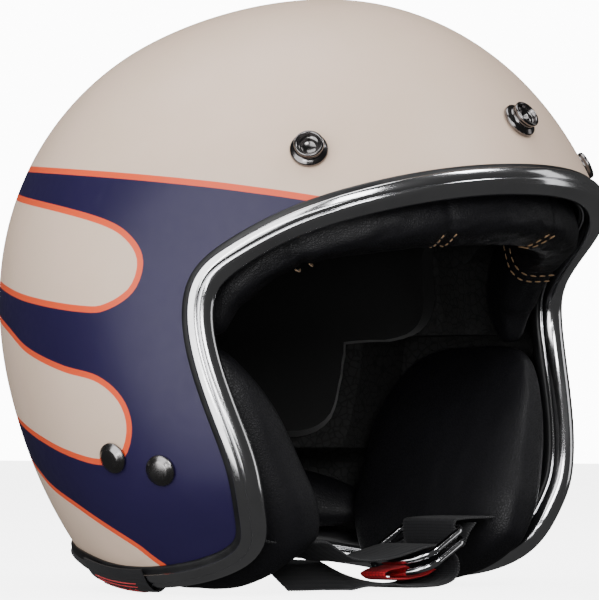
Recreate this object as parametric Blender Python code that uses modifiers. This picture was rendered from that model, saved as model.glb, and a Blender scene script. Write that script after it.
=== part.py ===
"""Open face motorcycle helmet, modelled as its separate pieces.

Metres, +Z up. The helmet faces -Y, and the wearer's right side is at -X.
It stands on its edge trim at z = 0, with the origin under the middle of its box.
"""
import math

import bmesh
import bpy
import numpy as np
from mathutils import Matrix, Vector

# ---- shell surface: an egg of two half superellipsoids, tilted back ----
CENTRE = Vector((0.0, -0.0051, 0.0977))
HALF_WIDTH = 0.1216
HALF_FRONT = 0.1233
HALF_BACK = 0.1205
HALF_UP = 0.1254
HALF_DOWN = 0.1463
PLAN_POWER = 1.87
UPPER_POWER = 2.21
LOWER_POWER = 2.03
EGG_TILT = math.radians(-22.5)
NARROW = 0.0915
NARROW_CORNER = 0.1084

# ---- polar frame of the shell: its pole is at the upper back ----
POLE_LEAN = math.radians(60)
POLE = Vector((0, math.sin(POLE_LEAN), math.cos(POLE_LEAN)))
TO_RIGHT = Vector((-1, 0, 0))
TO_BROW = Vector((0, -math.cos(POLE_LEAN), math.sin(POLE_LEAN)))

# The shell's cut edge on the wearer's right, from the brow (90) to the nape (-90):
# degrees round the pole, then degrees away from the pole.
EDGE_STATIONS = (
    (90, 122.6), (70, 120.3), (50, 114.1), (35, 107.3), (25, 102.9), (17, 101.2),
    (10, 104.1), (0, 112.9), (-12, 122.8), (-22, 126.2), (-30, 126.0), (-38, 117.0),
    (-48, 97.1), (-60, 82.4), (-75, 73.1), (-90, 70.6),
)

SHELL_WALL = 0.004
LINER_DEPTH = 0.0054
LINER_WALL = 0.0235
CROWN_PAD_DEPTH = 0.0308
CROWN_PAD_WALL = 0.007
PAD_INSET = 0.0100
FIT_GAP = 0.0004

# ---- edge trim sections: (along the surface past the cut edge, out of the surface) ----
CHANNEL_SECTION = (
    (-0.0045, 0.0006), (-0.0045, 0.0014), (-0.0015, 0.0020), (0.0024, 0.0018), (0.0025, -0.0062),
    (-0.0052, -0.0063), (-0.0052, -0.0056), (0.0018, -0.0056), (0.0018, 0.0006),
)
BEAD_SECTION = (
    (-0.0012, 0.0024), (-0.0006, 0.0030), (0.0028, 0.0030), (0.0062, 0.0014), (0.0076, -0.0020),
    (0.0062, -0.0056), (0.0028, -0.0072), (-0.0006, -0.0072), (-0.0012, -0.0066), (0.0029, -0.0065),
    (0.0029, 0.0021),
)
TAG_SECTION = (
    (-0.0050, 0.0029), (-0.0050, 0.0033), (-0.0008, 0.0038), (0.0032, 0.0038), (0.0073, 0.0020),
    (0.0090, -0.0020), (0.0073, -0.0063), (0.0049, -0.0076), (0.0047, -0.0072), (0.0070, -0.0060),
    (0.0086, -0.0020), (0.0070, 0.0017), (0.0030, 0.0034), (-0.0008, 0.0034),
)
EDGE_SEGMENTS = 54
TAG_TURN = (-49.5, -42.0)

# ---- snap studs and rivets: rough places, put on the surface along the radius ----
SNAP_SIDE_PLACE = (0.0803, -0.0699, 0.1610)
SNAP_MIDDLE_PLACE = (0.0, -0.1034, 0.1742)
RIVET_FRONT_PLACE = (0.1081, -0.0233, 0.0458)
RIVET_REAR_PLACE = (0.1120, -0.0036, 0.0503)
SHANK_RADIUS = 0.0025
HOLE_RADIUS = 0.0029
SNAP_WASHER_RADIUS = 0.0070
WASHER_THICK = 0.0010
PLATE_THICK = 0.0012
PLATE_DEPTH = 0.0054
PLATE_JOG = 0.0028
PLATE_HALF_WIDTH = 0.0185
PLATE_TOP = 0.0085
PLATE_BOTTOM = -0.0185
SLOT_DROP = 0.0122
SLOT_HALF = (0.0140, 0.0033)
TURN_STEPS = 16

# ---- chin strap: the far (left) and near (right) exits from the cheek pads ----
WEB_WIDTH = 0.025
WEB_THICK = 0.0014
STRAP_Y = -0.0380
EXIT_X = 0.0479
EXIT_RIGHT_Z = 0.0190
EXIT_LEFT_Z = 0.0268

# ---- D-rings: straight bars in the loop of the short strap, curved ends to the right ----
RING_WIRE = 0.0028
RING_INNER = 0.0266
RING_REACH = 0.0290
RING_SLOPE = math.radians(26)
RING_BOW = 0.0190
RING_OUTER_BAR = Vector((0.0335, STRAP_Y, 0.0189))
RING_INNER_BAR = Vector((0.0325, STRAP_Y, 0.0234))

CREAM = (0.70, 0.62, 0.53, 1)
BLACK_RUBBER = (0.008, 0.008, 0.010, 1)
BLACK_LEATHER = (0.012, 0.012, 0.015, 1)
BLACK_WEB = (0.010, 0.010, 0.012, 1)
STEEL = (0.60, 0.61, 0.63, 1)
NICKEL = (0.08, 0.08, 0.085, 1)
FOAM = (0.05, 0.05, 0.05, 1)
RED = (0.55, 0.02, 0.02, 1)

model = bpy.data.collections.new("open_face_helmet")
cutters = bpy.data.collections.new("cutters")


# ------------------------------------------------------------------ surface
def into_egg(offset):
    """Turn an offset from CENTRE into the egg's own axes."""
    return Matrix.Rotation(-EGG_TILT, 3, "X") @ offset


def smooth_step(value):
    value = max(0.0, min(1.0, value))
    return value * value * (3 - 2 * value)


def narrowing(offset):
    """How much narrower the surface is towards the lower front, from the direction alone."""
    way = offset.normalized()
    forward = smooth_step((0.25 - way.y) / 0.80)
    below = 1 - smooth_step((way.z - 0.20) / 0.30)
    corner = smooth_step((-0.45 - way.z) / 0.35)
    return forward * below * (NARROW + NARROW_CORNER * corner)


def egg_value(point):
    """1 on the outer surface, less inside."""
    p = into_egg(point - CENTRE)
    p.x *= 1 + narrowing(point - CENTRE)
    half_y = HALF_FRONT if p.y < 0 else HALF_BACK
    half_z = HALF_UP if p.z > 0 else HALF_DOWN
    power = UPPER_POWER if p.z > 0 else LOWER_POWER
    plan = abs(p.x / HALF_WIDTH) ** PLAN_POWER + abs(p.y / half_y) ** PLAN_POWER
    return (plan ** (power / PLAN_POWER) + abs(p.z / half_z) ** power) ** (1 / power)


def onto_surface(point):
    """Slide a point along its radius on to the outer surface."""
    return CENTRE + (point - CENTRE) / egg_value(point)


def surface_normal(point):
    step = 0.0002
    slope = [egg_value(point + Vector(axis) * step) - egg_value(point - Vector(axis) * step)
             for axis in ((1, 0, 0), (0, 1, 0), (0, 0, 1))]
    return Vector(slope).normalized()


def polar_point(turn, lean, depth=0.0):
    """The surface point at turn and lean degrees in the polar frame, sunk by depth."""
    turn = math.radians(turn)
    lean = math.radians(lean)
    around = TO_RIGHT * math.cos(turn) + TO_BROW * math.sin(turn)
    point = onto_surface(CENTRE + (POLE * math.cos(lean) + around * math.sin(lean)) * 0.1)
    return point - surface_normal(point) * depth


def side_point(y, z, depth, side=-1):
    """The point of the side at y and z, sunk by depth below the outer surface."""
    low, high = 0.0, HALF_WIDTH
    for _ in range(30):
        middle = (low + high) / 2
        if egg_value(Vector((middle, y, z))) < 1:
            low = middle
        else:
            high = middle
    point = Vector((side * low, y, z))
    return point - surface_normal(point) * depth


def natural_spline(stations):
    """A smooth curve through (x, y) stations, level at both ends."""
    x = np.array([s[0] for s in stations], float)[::-1]
    y = np.array([s[1] for s in stations], float)[::-1]
    gap = np.diff(x)
    rise = np.diff(y) / gap
    count = len(x)
    matrix = np.eye(count)
    right = np.zeros(count)
    for i in range(1, count - 1):
        matrix[i, i - 1:i + 2] = gap[i], 2 * (gap[i] + gap[i - 1]), gap[i - 1]
        right[i] = 3 * (gap[i] * rise[i - 1] + gap[i - 1] * rise[i])
    slope = np.linalg.solve(matrix, right)

    def value(at):
        i = int(np.clip(np.searchsorted(x, at) - 1, 0, count - 2))
        t = (at - x[i]) / gap[i]
        bow = (1 - t) * (slope[i] - rise[i]) - t * (slope[i + 1] - rise[i])
        return y[i] + t * (y[i + 1] - y[i]) + t * (1 - t) * gap[i] * bow
    return value


edge_curve = natural_spline(EDGE_STATIONS)


def edge_lean(turn):
    """How far from the pole the shell ends, the same on both sides."""
    turn = (turn + 90) % 360 - 90
    return edge_curve(turn if turn <= 90 else 180 - turn)


def edge_frame(turn):
    """A point of the cut edge, the way past the edge along the surface, and the way out."""
    point = polar_point(turn, edge_lean(turn))
    along = polar_point(turn + 0.5, edge_lean(turn + 0.5)) - polar_point(turn - 0.5, edge_lean(turn - 0.5))
    out = surface_normal(point)
    past = along.cross(out).normalized()
    if past.dot(POLE) > 0:
        past.negate()
    return point, past, out


def even_turns(start, end, count, closed=False):
    """Turns spaced evenly along the cut edge."""
    fine = np.linspace(start, end, 361)
    points = [polar_point(t, edge_lean(t)) for t in fine]
    length = np.concatenate(([0], np.cumsum([(b - a).length for a, b in zip(points, points[1:])])))
    wanted = np.linspace(0, length[-1], count + 1 if closed else count)
    turns = np.interp(wanted, length, fine)
    return turns[:-1] if closed else turns


# ------------------------------------------------------------------ building
def finish(obj, colour, roughness=0.5, metallic=0.0):
    material = bpy.data.materials.new(obj.name)
    material.use_nodes = True
    shader = material.node_tree.nodes["Principled BSDF"]
    shader.inputs["Base Color"].default_value = colour
    shader.inputs["Roughness"].default_value = roughness
    shader.inputs["Metallic"].default_value = metallic
    obj.data.materials.clear()
    obj.data.materials.append(material)
    obj.data.shade_smooth()
    obj.data.set_sharp_from_angle(angle=math.radians(35))
    return obj


def from_bmesh(name, bm, where=None):
    mesh = bpy.data.meshes.new(name)
    bm.to_mesh(mesh)
    bm.free()
    obj = bpy.data.objects.new(name, mesh)
    (where or model).objects.link(obj)
    return obj


def face_outwards(bm):
    bmesh.ops.recalc_face_normals(bm, faces=bm.faces)
    if bm.calc_volume(signed=True) < 0:
        bmesh.ops.reverse_faces(bm, faces=bm.faces)


def loft(name, rings, closed=False, pivot=Vector((0, 0, 0))):
    """Skin a row of rings with equal point counts, capped or joined end to end."""
    bm = bmesh.new()
    rows = [[bm.verts.new(p - pivot) for p in ring] for ring in rings]
    pairs = list(zip(rows, rows[1:]))
    if closed:
        pairs.append((rows[-1], rows[0]))
    for a, b in pairs:
        for i in range(len(a)):
            j = (i + 1) % len(a)
            bm.faces.new((a[i], a[j], b[j], b[i]))
    if not closed:
        bm.faces.new(rows[0])
        bm.faces.new(rows[-1])
    face_outwards(bm)
    obj = from_bmesh(name, bm)
    obj.location = pivot
    return obj


def edge_sweep(name, section, turns, closed=False):
    rings = []
    for turn in turns:
        point, past, out = edge_frame(turn)
        rings.append([point + past * a + out * b for a, b in section])
    return loft(name, rings, closed)


def dome(name, depth, wall, lean_limit, segments, ring_count):
    """A cap of the shell's surface, from half of a UV sphere, thickened inwards."""
    turns = even_turns(-90, 270, segments, closed=True)
    bm = bmesh.new()
    bmesh.ops.create_uvsphere(bm, u_segments=segments, v_segments=2 * ring_count, radius=1)
    lower = [v for v in bm.verts if v.co.z < -0.001]
    bmesh.ops.delete(bm, geom=lower, context="VERTS")
    for v in bm.verts:
        share = math.acos(max(-1, min(1, v.co.z))) / (math.pi / 2)
        angle = math.degrees(math.atan2(v.co.y, v.co.x))
        turn = turns[round((angle + 90) / 360 * segments) % segments]
        v.co = polar_point(turn, share * lean_limit(turn), depth)
    obj = from_bmesh(name, bm)
    solid = obj.modifiers.new("wall", "SOLIDIFY")
    solid.thickness = wall
    solid.offset = -1
    solid.use_even_offset = True
    return obj


def rounded_block(name, place, cuts, power=5.0):
    """A subdivided cube with its corners drawn in, each point then put by place(a, b, c)."""
    bm = bmesh.new()
    bmesh.ops.create_cube(bm, size=2)
    bmesh.ops.subdivide_edges(bm, edges=bm.edges[:], cuts=cuts, use_grid_fill=True)
    for v in bm.verts:
        reach = sum(abs(c) ** power for c in v.co) ** (1 / power)
        v.co = place(*(v.co * (max(abs(c) for c in v.co) / reach)))
    face_outwards(bm)
    return from_bmesh(name, bm)


def turned(name, profile, place, axis):
    """A Screw of a profile of (radius, height), stood on a surface along axis."""
    bm = bmesh.new()
    points = [bm.verts.new((r, 0, h)) for r, h in profile]
    for a, b in zip(points, points[1:]):
        bm.edges.new((a, b))
    if profile[0][0] > 0:
        bm.edges.new((points[-1], points[0]))
    obj = from_bmesh(name, bm)
    screw = obj.modifiers.new("turn", "SCREW")
    screw.steps = TURN_STEPS
    screw.render_steps = TURN_STEPS
    screw.use_merge_vertices = True
    screw.merge_threshold = 0.00002
    obj.location = place
    obj.rotation_mode = "QUATERNION"
    obj.rotation_quaternion = axis.to_track_quat("Z", "Y")
    return obj


def cylinder_cutter(name, radius, length, place, axis):
    bm = bmesh.new()
    bmesh.ops.create_cone(bm, cap_ends=True, segments=16, radius1=radius, radius2=radius, depth=length)
    obj = from_bmesh(name, bm, cutters)
    obj.location = place
    obj.rotation_mode = "QUATERNION"
    obj.rotation_quaternion = axis.to_track_quat("Z", "Y")
    return obj


def box_cutter(name, low, high):
    bm = bmesh.new()
    bmesh.ops.create_cube(bm, size=1)
    for v in bm.verts:
        v.co = [a + (c + 0.5) * (b - a) for a, b, c in zip(low, high, v.co)]
    return from_bmesh(name, bm, cutters)


def cut(obj, cutter):
    cutter.hide_render = True
    cutter.display_type = "WIRE"
    boolean = obj.modifiers.new(cutter.name, "BOOLEAN")
    boolean.operation = "DIFFERENCE"
    boolean.object = cutter
    return obj


def smooth_route(points, count):
    """Points at even steps on a smooth curve through a route's own points."""
    points = [Vector(p) for p in points]
    padded = [points[0] * 2 - points[1]] + points + [points[-1] * 2 - points[-2]]
    fine = []
    for before, a, b, after in zip(padded, padded[1:], padded[2:], padded[3:]):
        for i in range(16):
            t = i / 16
            fine.append(0.5 * (2 * a + (b - before) * t + (2 * before - 5 * a + 4 * b - after) * t ** 2
                               + (3 * a - before - 3 * b + after) * t ** 3))
    fine.append(points[-1])
    length = np.concatenate(([0], np.cumsum([(b - a).length for a, b in zip(fine, fine[1:])])))
    wanted = np.linspace(0, length[-1], count)
    columns = [np.interp(wanted, length, [p[k] for p in fine]) for k in range(3)]
    return [Vector(p) for p in zip(*columns)]


def ribbon(name, route, across, count, width=WEB_WIDTH, thick=WEB_THICK, pivot=Vector((0, 0, 0))):
    """A flat band along a route. across(point) gives its width direction."""
    points = smooth_route(route, count)
    rings = []
    for i, point in enumerate(points):
        ahead = (points[min(i + 1, count - 1)] - points[max(i - 1, 0)]).normalized()
        wide = across(point).normalized()
        wide = (wide - ahead * wide.dot(ahead)).normalized()
        thin = ahead.cross(wide)
        rings.append([point + wide * (a * width / 2) + thin * (b * thick / 2)
                      for a, b in ((-1, -1), (1, -1), (1, 1), (-1, 1))])
    return loft(name, rings, pivot=pivot)


def mirrored(place, side):
    return Vector((side * place[0], place[1], place[2]))


# ------------------------------------------------------------------ shell and liner
def make_shell(holes):
    shell = dome("shell", 0, SHELL_WALL, edge_lean, EDGE_SEGMENTS, 15)
    for hole in holes:
        cut(shell, hole)
    return finish(shell, CREAM, 0.45)


def liner_lean(turn):
    """The foam ends behind the brow pad in front, and higher up above the neck roll."""
    return edge_lean(turn) - 13.6 + 2.5 * math.sin(math.radians(turn))


def make_liner(pockets):
    liner = dome("impact_liner", LINER_DEPTH, LINER_WALL, liner_lean, 36, 8)
    cut(liner, box_cutter("neck_room", (-0.2, 0.03, -0.1), (0.2, 0.2, 0.0535)))
    cut(liner, box_cutter("cheek_room", (-0.2, -0.12, -0.1), (0.2, 0.036, 0.0985)))
    for pocket in pockets:
        cut(liner, pocket)
    return finish(liner, FOAM, 0.9)


def crown_lean(turn):
    return min(edge_lean(turn) - 24, 84)


def make_crown_pad():
    pad = dome("crown_pad", CROWN_PAD_DEPTH, CROWN_PAD_WALL, crown_lean, 28, 6)
    cut(pad, box_cutter("crown_pad_room", (-0.2, -0.12, -0.1), (0.2, 0.036, 0.0955)))
    return finish(pad, BLACK_WEB, 0.95)


# ------------------------------------------------------------------ edge trim
def make_trim():
    turns = even_turns(-90, 270, EDGE_SEGMENTS, closed=True)
    finish(edge_sweep("edge_channel", CHANNEL_SECTION, turns, closed=True), BLACK_RUBBER, 0.5)
    finish(edge_sweep("edge_bead", BEAD_SECTION, turns, closed=True), STEEL, 0.08, 1.0)
    tag = edge_sweep("maker_tag", TAG_SECTION, even_turns(*TAG_TURN, 7))
    finish(tag, BLACK_WEB, 0.9)


# ------------------------------------------------------------------ fasteners
def snap_profile(shank_end):
    return ((0, 0.0032), (0.0041, 0.0036), (0.0044, 0.0052), (0.0053, 0.0052), (0.0054, 0.0037),
            (0.0049, 0.0030), (0.0052, 0.0020), (0.0070, 0.0011), (0.0070, 0), (SHANK_RADIUS, 0),
            (SHANK_RADIUS, shank_end), (0, shank_end))


def rivet_profile(shank_end):
    return ((0, 0.0024), (0.0038, 0.0024), (0.0042, 0.0020), (0.0058, 0.0006), (0.0058, 0),
            (SHANK_RADIUS, 0), (SHANK_RADIUS, shank_end), (0, shank_end))


def washer_profile(outer):
    return ((HOLE_RADIUS, 0), (outer, 0), (outer, -WASHER_THICK), (HOLE_RADIUS, -WASHER_THICK))


def make_snap(name, rough):
    """A snap stud, its backing washer, its hole in the shell and its pocket in the liner."""
    place = onto_surface(Vector(rough))
    axis = surface_normal(place)
    shank_end = -(SHELL_WALL + WASHER_THICK + 0.0022)
    finish(turned(name, snap_profile(shank_end), place + axis * FIT_GAP, axis), NICKEL, 0.2, 1.0)
    washer = turned(name.replace("snap", "snap_washer"), washer_profile(SNAP_WASHER_RADIUS),
                    place - axis * (SHELL_WALL + 0.0013), axis)
    finish(washer, STEEL, 0.35, 1.0)
    hole = cylinder_cutter(name + "_hole", HOLE_RADIUS, 0.014, place, axis)
    pocket = cylinder_cutter(name + "_pocket", SNAP_WASHER_RADIUS + 0.001, 0.018, place, axis)
    return hole, pocket


def make_rivet(name, rough):
    place = onto_surface(Vector(rough))
    axis = surface_normal(place)
    shank_end = -(SHELL_WALL + PLATE_THICK + 0.0026)
    finish(turned(name, rivet_profile(shank_end), place + axis * FIT_GAP, axis), NICKEL, 0.2, 1.0)
    return (cylinder_cutter(name + "_hole", HOLE_RADIUS, 0.016, place, axis),
            cylinder_cutter(name + "_plate_hole", HOLE_RADIUS, 0.016, place, axis))


def make_hanger(side, word, holes):
    """The steel plate behind a pair of rivets. Its slotted foot stands off to let the webbing round."""
    front = mirrored(RIVET_FRONT_PLACE, side)
    rear = mirrored(RIVET_REAR_PLACE, side)
    middle_y = (front.y + rear.y) / 2
    middle_z = (front.z + rear.z) / 2
    slope = (rear.z - front.z) / (rear.y - front.y)
    bm = bmesh.new()
    bmesh.ops.create_grid(bm, x_segments=5, y_segments=8, size=1)
    for v in bm.verts:
        across = v.co.x * PLATE_HALF_WIDTH
        up = PLATE_BOTTOM + (PLATE_TOP - PLATE_BOTTOM) * (v.co.y + 1) / 2
        jog = max(0.0, min(1.0, (-up - 0.004) / 0.005))
        z = middle_z + up + slope * across * (1 - jog)
        v.co = side_point(middle_y + across, z, PLATE_DEPTH + PLATE_JOG * jog, side)
    bm.normal_update()
    if sum(f.normal.x for f in bm.faces) * side < 0:
        bmesh.ops.reverse_faces(bm, faces=bm.faces)
    plate = from_bmesh("strap_hanger_" + word, bm)
    solid = plate.modifiers.new("sheet", "SOLIDIFY")
    solid.thickness = PLATE_THICK
    solid.offset = -1
    for hole in holes:
        cut(plate, hole)
    slot = side_point(middle_y, middle_z - SLOT_DROP, PLATE_DEPTH + PLATE_JOG, side)
    reach = Vector((0.008, SLOT_HALF[0], SLOT_HALF[1]))
    cut(plate, box_cutter("slot_" + word, slot - reach, slot + reach))
    finish(plate, STEEL, 0.4, 1.0)
    return middle_y, middle_z - SLOT_DROP - SLOT_HALF[1]


# ------------------------------------------------------------------ padding
def make_brow_pad():
    def place(a, b, c):
        turn = 90 + 82 * a
        point, past, out = edge_frame(turn)
        taper = 1 - 0.12 * abs(a) ** 8
        return point + past * (0.0015 + 0.0150 * b * taper) - out * (0.0205 + 0.0110 * c * taper)
    return finish(rounded_block("brow_pad", place, 9, power=3.5), BLACK_LEATHER, 0.45)


def cheek_inner_x(z):
    """How far from the middle the pad's inner face is: close at the jaw, thin at the top."""
    return 0.0515 + 0.034 * max(0.0, (z - 0.020) / 0.070) ** 1.5


def strap_pocket(side, word):
    """The room behind the cheek pad for the hanger's foot and the webbing hooked in it."""
    x = sorted((side * 0.0610, side * 0.1300))
    return box_cutter("pocket_" + word, (x[0], -0.0470, 0.0150), (x[1], 0.0040, 0.0520))


def strap_tunnel(side, word, exit_z):
    """The way of the webbing through the cheek pad, wider at its outer end."""
    cutter = box_cutter("tunnel_" + word, (-1, -1, -1), (1, 1, 1))
    for v in cutter.data.vertices:
        inner = v.co.x * side < 0
        y = STRAP_Y + 0.0142 * v.co.y if inner else -0.0325 + 0.0195 * v.co.y
        z = exit_z + (0.0026 if inner else 0.0055) * v.co.z
        v.co = (side * (0.0300 if inner else 0.0950), y, z)
    return cutter


def make_cheek_pad(side, word, exit_z):
    low, top = -0.0018, 0.0940
    rear = 0.0260

    def place(a, b, c):
        share = (b + 1) / 2
        z = low + (top - low) * share
        front = -0.0580 + 0.0105 * max(0.0, min(1.0, (z - 0.0325) / 0.05))
        front += 0.018 * max(0.0, (0.0165 - z) / 0.0165) ** 1.3
        y = (front + rear) / 2 + (rear - front) / 2 * a
        outer = side_point(y, z, 0, side) - Vector((side * PAD_INSET, 0, 0))
        inner = Vector((side * cheek_inner_x(z), y, z + 0.0085 * (1 - share)))
        return outer.lerp(inner, (c + 1) / 2)
    pad = rounded_block("cheek_pad_" + word, place, 6, power=4.0)
    cut(pad, strap_pocket(side, word))
    cut(pad, strap_tunnel(side, word, exit_z))
    return finish(pad, BLACK_LEATHER, 0.45)


def make_neck_roll():
    def place(a, b, c):
        turn = -90 + 40 * a
        point, past, out = edge_frame(turn)
        return point - past * (0.0110 - 0.0150 * b) - out * (0.0175 + 0.0085 * c)
    return finish(rounded_block("neck_roll", place, 5, power=3.5), BLACK_LEATHER, 0.5)


# ------------------------------------------------------------------ chin strap
def level(point):
    return Vector((0, 1, 0))


def anchor_route(side, y, bar_top, exit_z):
    """Sewn end, up and over the hanger's bar, down behind the pad and out through it."""
    hook = ((-0.0110, 0.0078), (-0.0035, 0.0067), (0.0010, 0.0070), (0.0029, 0.0089), (0.0017, 0.0111),
            (-0.0030, 0.0120), (-0.0090, 0.0128))
    route = [side_point(y, bar_top + up, depth, side) for up, depth in hook]
    route += [Vector((side * 0.0755, -0.0218, 0.3 * exit_z + 0.0158)),
              Vector((side * 0.0700, -0.0320, 0.7 * exit_z + 0.0064)),
              Vector((side * 0.0650, STRAP_Y, exit_z)), Vector((side * EXIT_X, STRAP_Y, exit_z))]
    return route


def anchor_across(side, hook_end):
    """The webbing lies along the shell's side at its hook, and level where it comes out."""
    flat = surface_normal(hook_end).cross(Vector((0, 0, 1))).normalized()

    def across(point):
        share = min(1.0, max(0.0, (0.0905 - abs(point.x)) / 0.016))
        return flat.lerp(Vector((0, math.copysign(1, flat.y), 0)), share)
    return across


def make_anchor(side, word, route):
    finish(ribbon("strap_anchor_" + word, route, anchor_across(side, route[0]), 28), BLACK_WEB, 0.9)


BAIL_PIVOT = Vector((0, STRAP_Y, EXIT_RIGHT_Z))
# The long strap: over both rings' curved ends, down through them and back underneath.
LONG_ROUTE = (
    (-0.0470, STRAP_Y, EXIT_RIGHT_Z), (-0.0400, STRAP_Y, 0.0160), (-0.0310, STRAP_Y, 0.0126),
    (-0.0190, STRAP_Y, 0.0117), (-0.0060, STRAP_Y, 0.0127), (0.0060, STRAP_Y, 0.0149),
    (0.0140, STRAP_Y, 0.0163), (0.0220, STRAP_Y, 0.0163), (0.0275, STRAP_Y, 0.0145),
    (0.0315, STRAP_Y, 0.0112), (0.0322, STRAP_Y, 0.0070), (0.0290, STRAP_Y, 0.0034),
    (0.0220, STRAP_Y, 0.0017), (0.0140, STRAP_Y, 0.0014), (0.0060, STRAP_Y, 0.0014),
    (-0.0030, STRAP_Y + 0.001, 0.0020), (-0.0180, STRAP_Y + 0.004, 0.0054),
    (-0.0330, STRAP_Y + 0.008, 0.0063), (-0.0470, STRAP_Y + 0.013, 0.0064),
)


def long_across(point):
    """The free end twists as it goes back to the right under the rest."""
    under = point.z < 0.008
    twist = math.radians(24) * max(0.0, min(1.0, (-0.003 - point.x) / 0.018)) * under
    return Vector((0, math.cos(twist), math.sin(twist)))


def make_long_strap():
    strap = ribbon("strap_long", LONG_ROUTE, long_across, 42, pivot=BAIL_PIVOT)
    return finish(strap, BLACK_WEB, 0.9)


def make_short_strap():
    """From the left cheek pad down to a sewn loop round both rings' straight bars."""
    bar = (RING_OUTER_BAR + RING_INNER_BAR) / 2
    loop = ((0.0007, 0.0053), (-0.0028, 0.0047), (-0.0035, 0.0018), (-0.0027, -0.0022), (-0.0008, -0.0048),
            (0.0022, -0.0047), (0.0040, -0.0020), (0.0062, 0.0008))
    route = [(EXIT_X - 0.0005, STRAP_Y, EXIT_LEFT_Z), (0.0425, STRAP_Y, 0.0268), (0.0380, STRAP_Y, 0.0267)]
    route += [(bar.x + right, STRAP_Y, bar.z + up) for right, up in loop]
    route.append((0.0425, STRAP_Y, 0.0246))
    strap = ribbon("strap_short", route, level, 30, thick=0.0010, pivot=BAIL_PIVOT)
    return finish(strap, BLACK_WEB, 0.9)


def ring_outline():
    """A D in its own plane: the straight bar at x = 0, the curved end at x = -RING_REACH."""
    half = (RING_INNER + RING_WIRE) / 2
    corner = 0.0045
    points = []
    for side in (1, -1):
        bar_corner = [(-corner + corner * math.cos(a), side * (half - corner + corner * math.sin(a)))
                      for a in (math.radians(15), math.radians(45), math.radians(75))]
        bow = [(-RING_BOW - (RING_REACH - RING_BOW) * math.sin(a), side * half * math.cos(a))
               for a in np.radians(np.linspace(0, 78, 6))]
        stretch = bar_corner + bow
        points += stretch if side == 1 else stretch[::-1]
    return points


def make_ring(name, bar):
    curve = bpy.data.curves.new(name + "_wire", "CURVE")
    curve.dimensions = "3D"
    curve.bevel_depth = RING_WIRE / 2
    curve.bevel_resolution = 2
    outline = ring_outline()
    spline = curve.splines.new("POLY")
    spline.points.add(len(outline) - 1)
    for point, (x, y) in zip(spline.points, outline):
        point.co = (x, y, 0, 1)
    spline.use_cyclic_u = True
    wire = bpy.data.objects.new(name + "_wire", curve)
    model.objects.link(wire)
    bpy.context.view_layer.update()
    mesh = bpy.data.meshes.new_from_object(wire.evaluated_get(bpy.context.evaluated_depsgraph_get()))
    bpy.data.objects.remove(wire)
    bm = bmesh.new()
    bm.from_mesh(mesh)
    bmesh.ops.remove_doubles(bm, verts=bm.verts, dist=0.00001)
    face_outwards(bm)
    ring = from_bmesh(name, bm)
    ring.location = bar
    ring.rotation_euler = (0, -RING_SLOPE, 0)
    return finish(ring, STEEL, 0.15, 1.0)


def make_pull_tab():
    """A red ribbon wrapped round the outer ring's curved end, folded, with its end to the left."""
    curve_end = RING_OUTER_BAR - Vector((math.cos(RING_SLOPE), 0, math.sin(RING_SLOPE))) * RING_REACH
    x = curve_end.x
    z = curve_end.z
    fold = ((0.0036, 0.0004), (0.0028, 0.0021), (0.0006, 0.0025), (-0.0040, 0.0019), (-0.0090, 0.0014),
            (-0.0122, 0.0000), (-0.0092, -0.0018), (-0.0030, -0.0022), (0.0040, -0.0021), (0.0130, -0.0010),
            (0.0190, 0.0010))
    route = [(x + right, STRAP_Y, z + up) for right, up in fold]
    tab = ribbon("pull_tab", route, level, 34, width=0.0120, thick=0.0007, pivot=RING_OUTER_BAR)
    return finish(tab, RED, 0.9)


# ------------------------------------------------------------------ assembly
def main():
    for obj in list(bpy.data.objects):
        bpy.data.objects.remove(obj)
    for collection in (model, cutters):
        bpy.context.scene.collection.children.link(collection)

    holes = []
    pockets = []
    snaps = (("brow_snap_right", mirrored(SNAP_SIDE_PLACE, -1)),
             ("brow_snap_center", Vector(SNAP_MIDDLE_PLACE)),
             ("brow_snap_left", mirrored(SNAP_SIDE_PLACE, 1)))
    for name, rough in snaps:
        hole, pocket = make_snap(name, rough)
        holes.append(hole)
        pockets.append(pocket)

    for side, word, exit_z in ((-1, "right", EXIT_RIGHT_Z), (1, "left", EXIT_LEFT_Z)):
        plate_holes = []
        for rivet, rough in (("front", RIVET_FRONT_PLACE), ("rear", RIVET_REAR_PLACE)):
            hole, plate_hole = make_rivet("strap_rivet_" + rivet + "_" + word, mirrored(rough, side))
            holes.append(hole)
            plate_holes.append(plate_hole)
        slot_y, bar_top = make_hanger(side, word, plate_holes)
        route = anchor_route(side, slot_y, bar_top, exit_z)
        make_anchor(side, word, route)
        make_cheek_pad(side, word, exit_z)

    make_shell(holes)
    make_liner(pockets)
    make_crown_pad()
    make_trim()
    make_brow_pad()
    make_neck_roll()
    make_long_strap()
    make_short_strap()
    make_ring("d_ring_outer", RING_OUTER_BAR)
    make_ring("d_ring_inner", RING_INNER_BAR)
    make_pull_tab()


main()
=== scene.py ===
"""Looks of the open face motorcycle helmet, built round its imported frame.

Metres, +Z up. The helmet faces -Y, and the wearer's right side is at -X.
"""

import math

import bmesh
import bpy
import numpy as np
from mathutils import Euler, Matrix, Vector, noise


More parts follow.
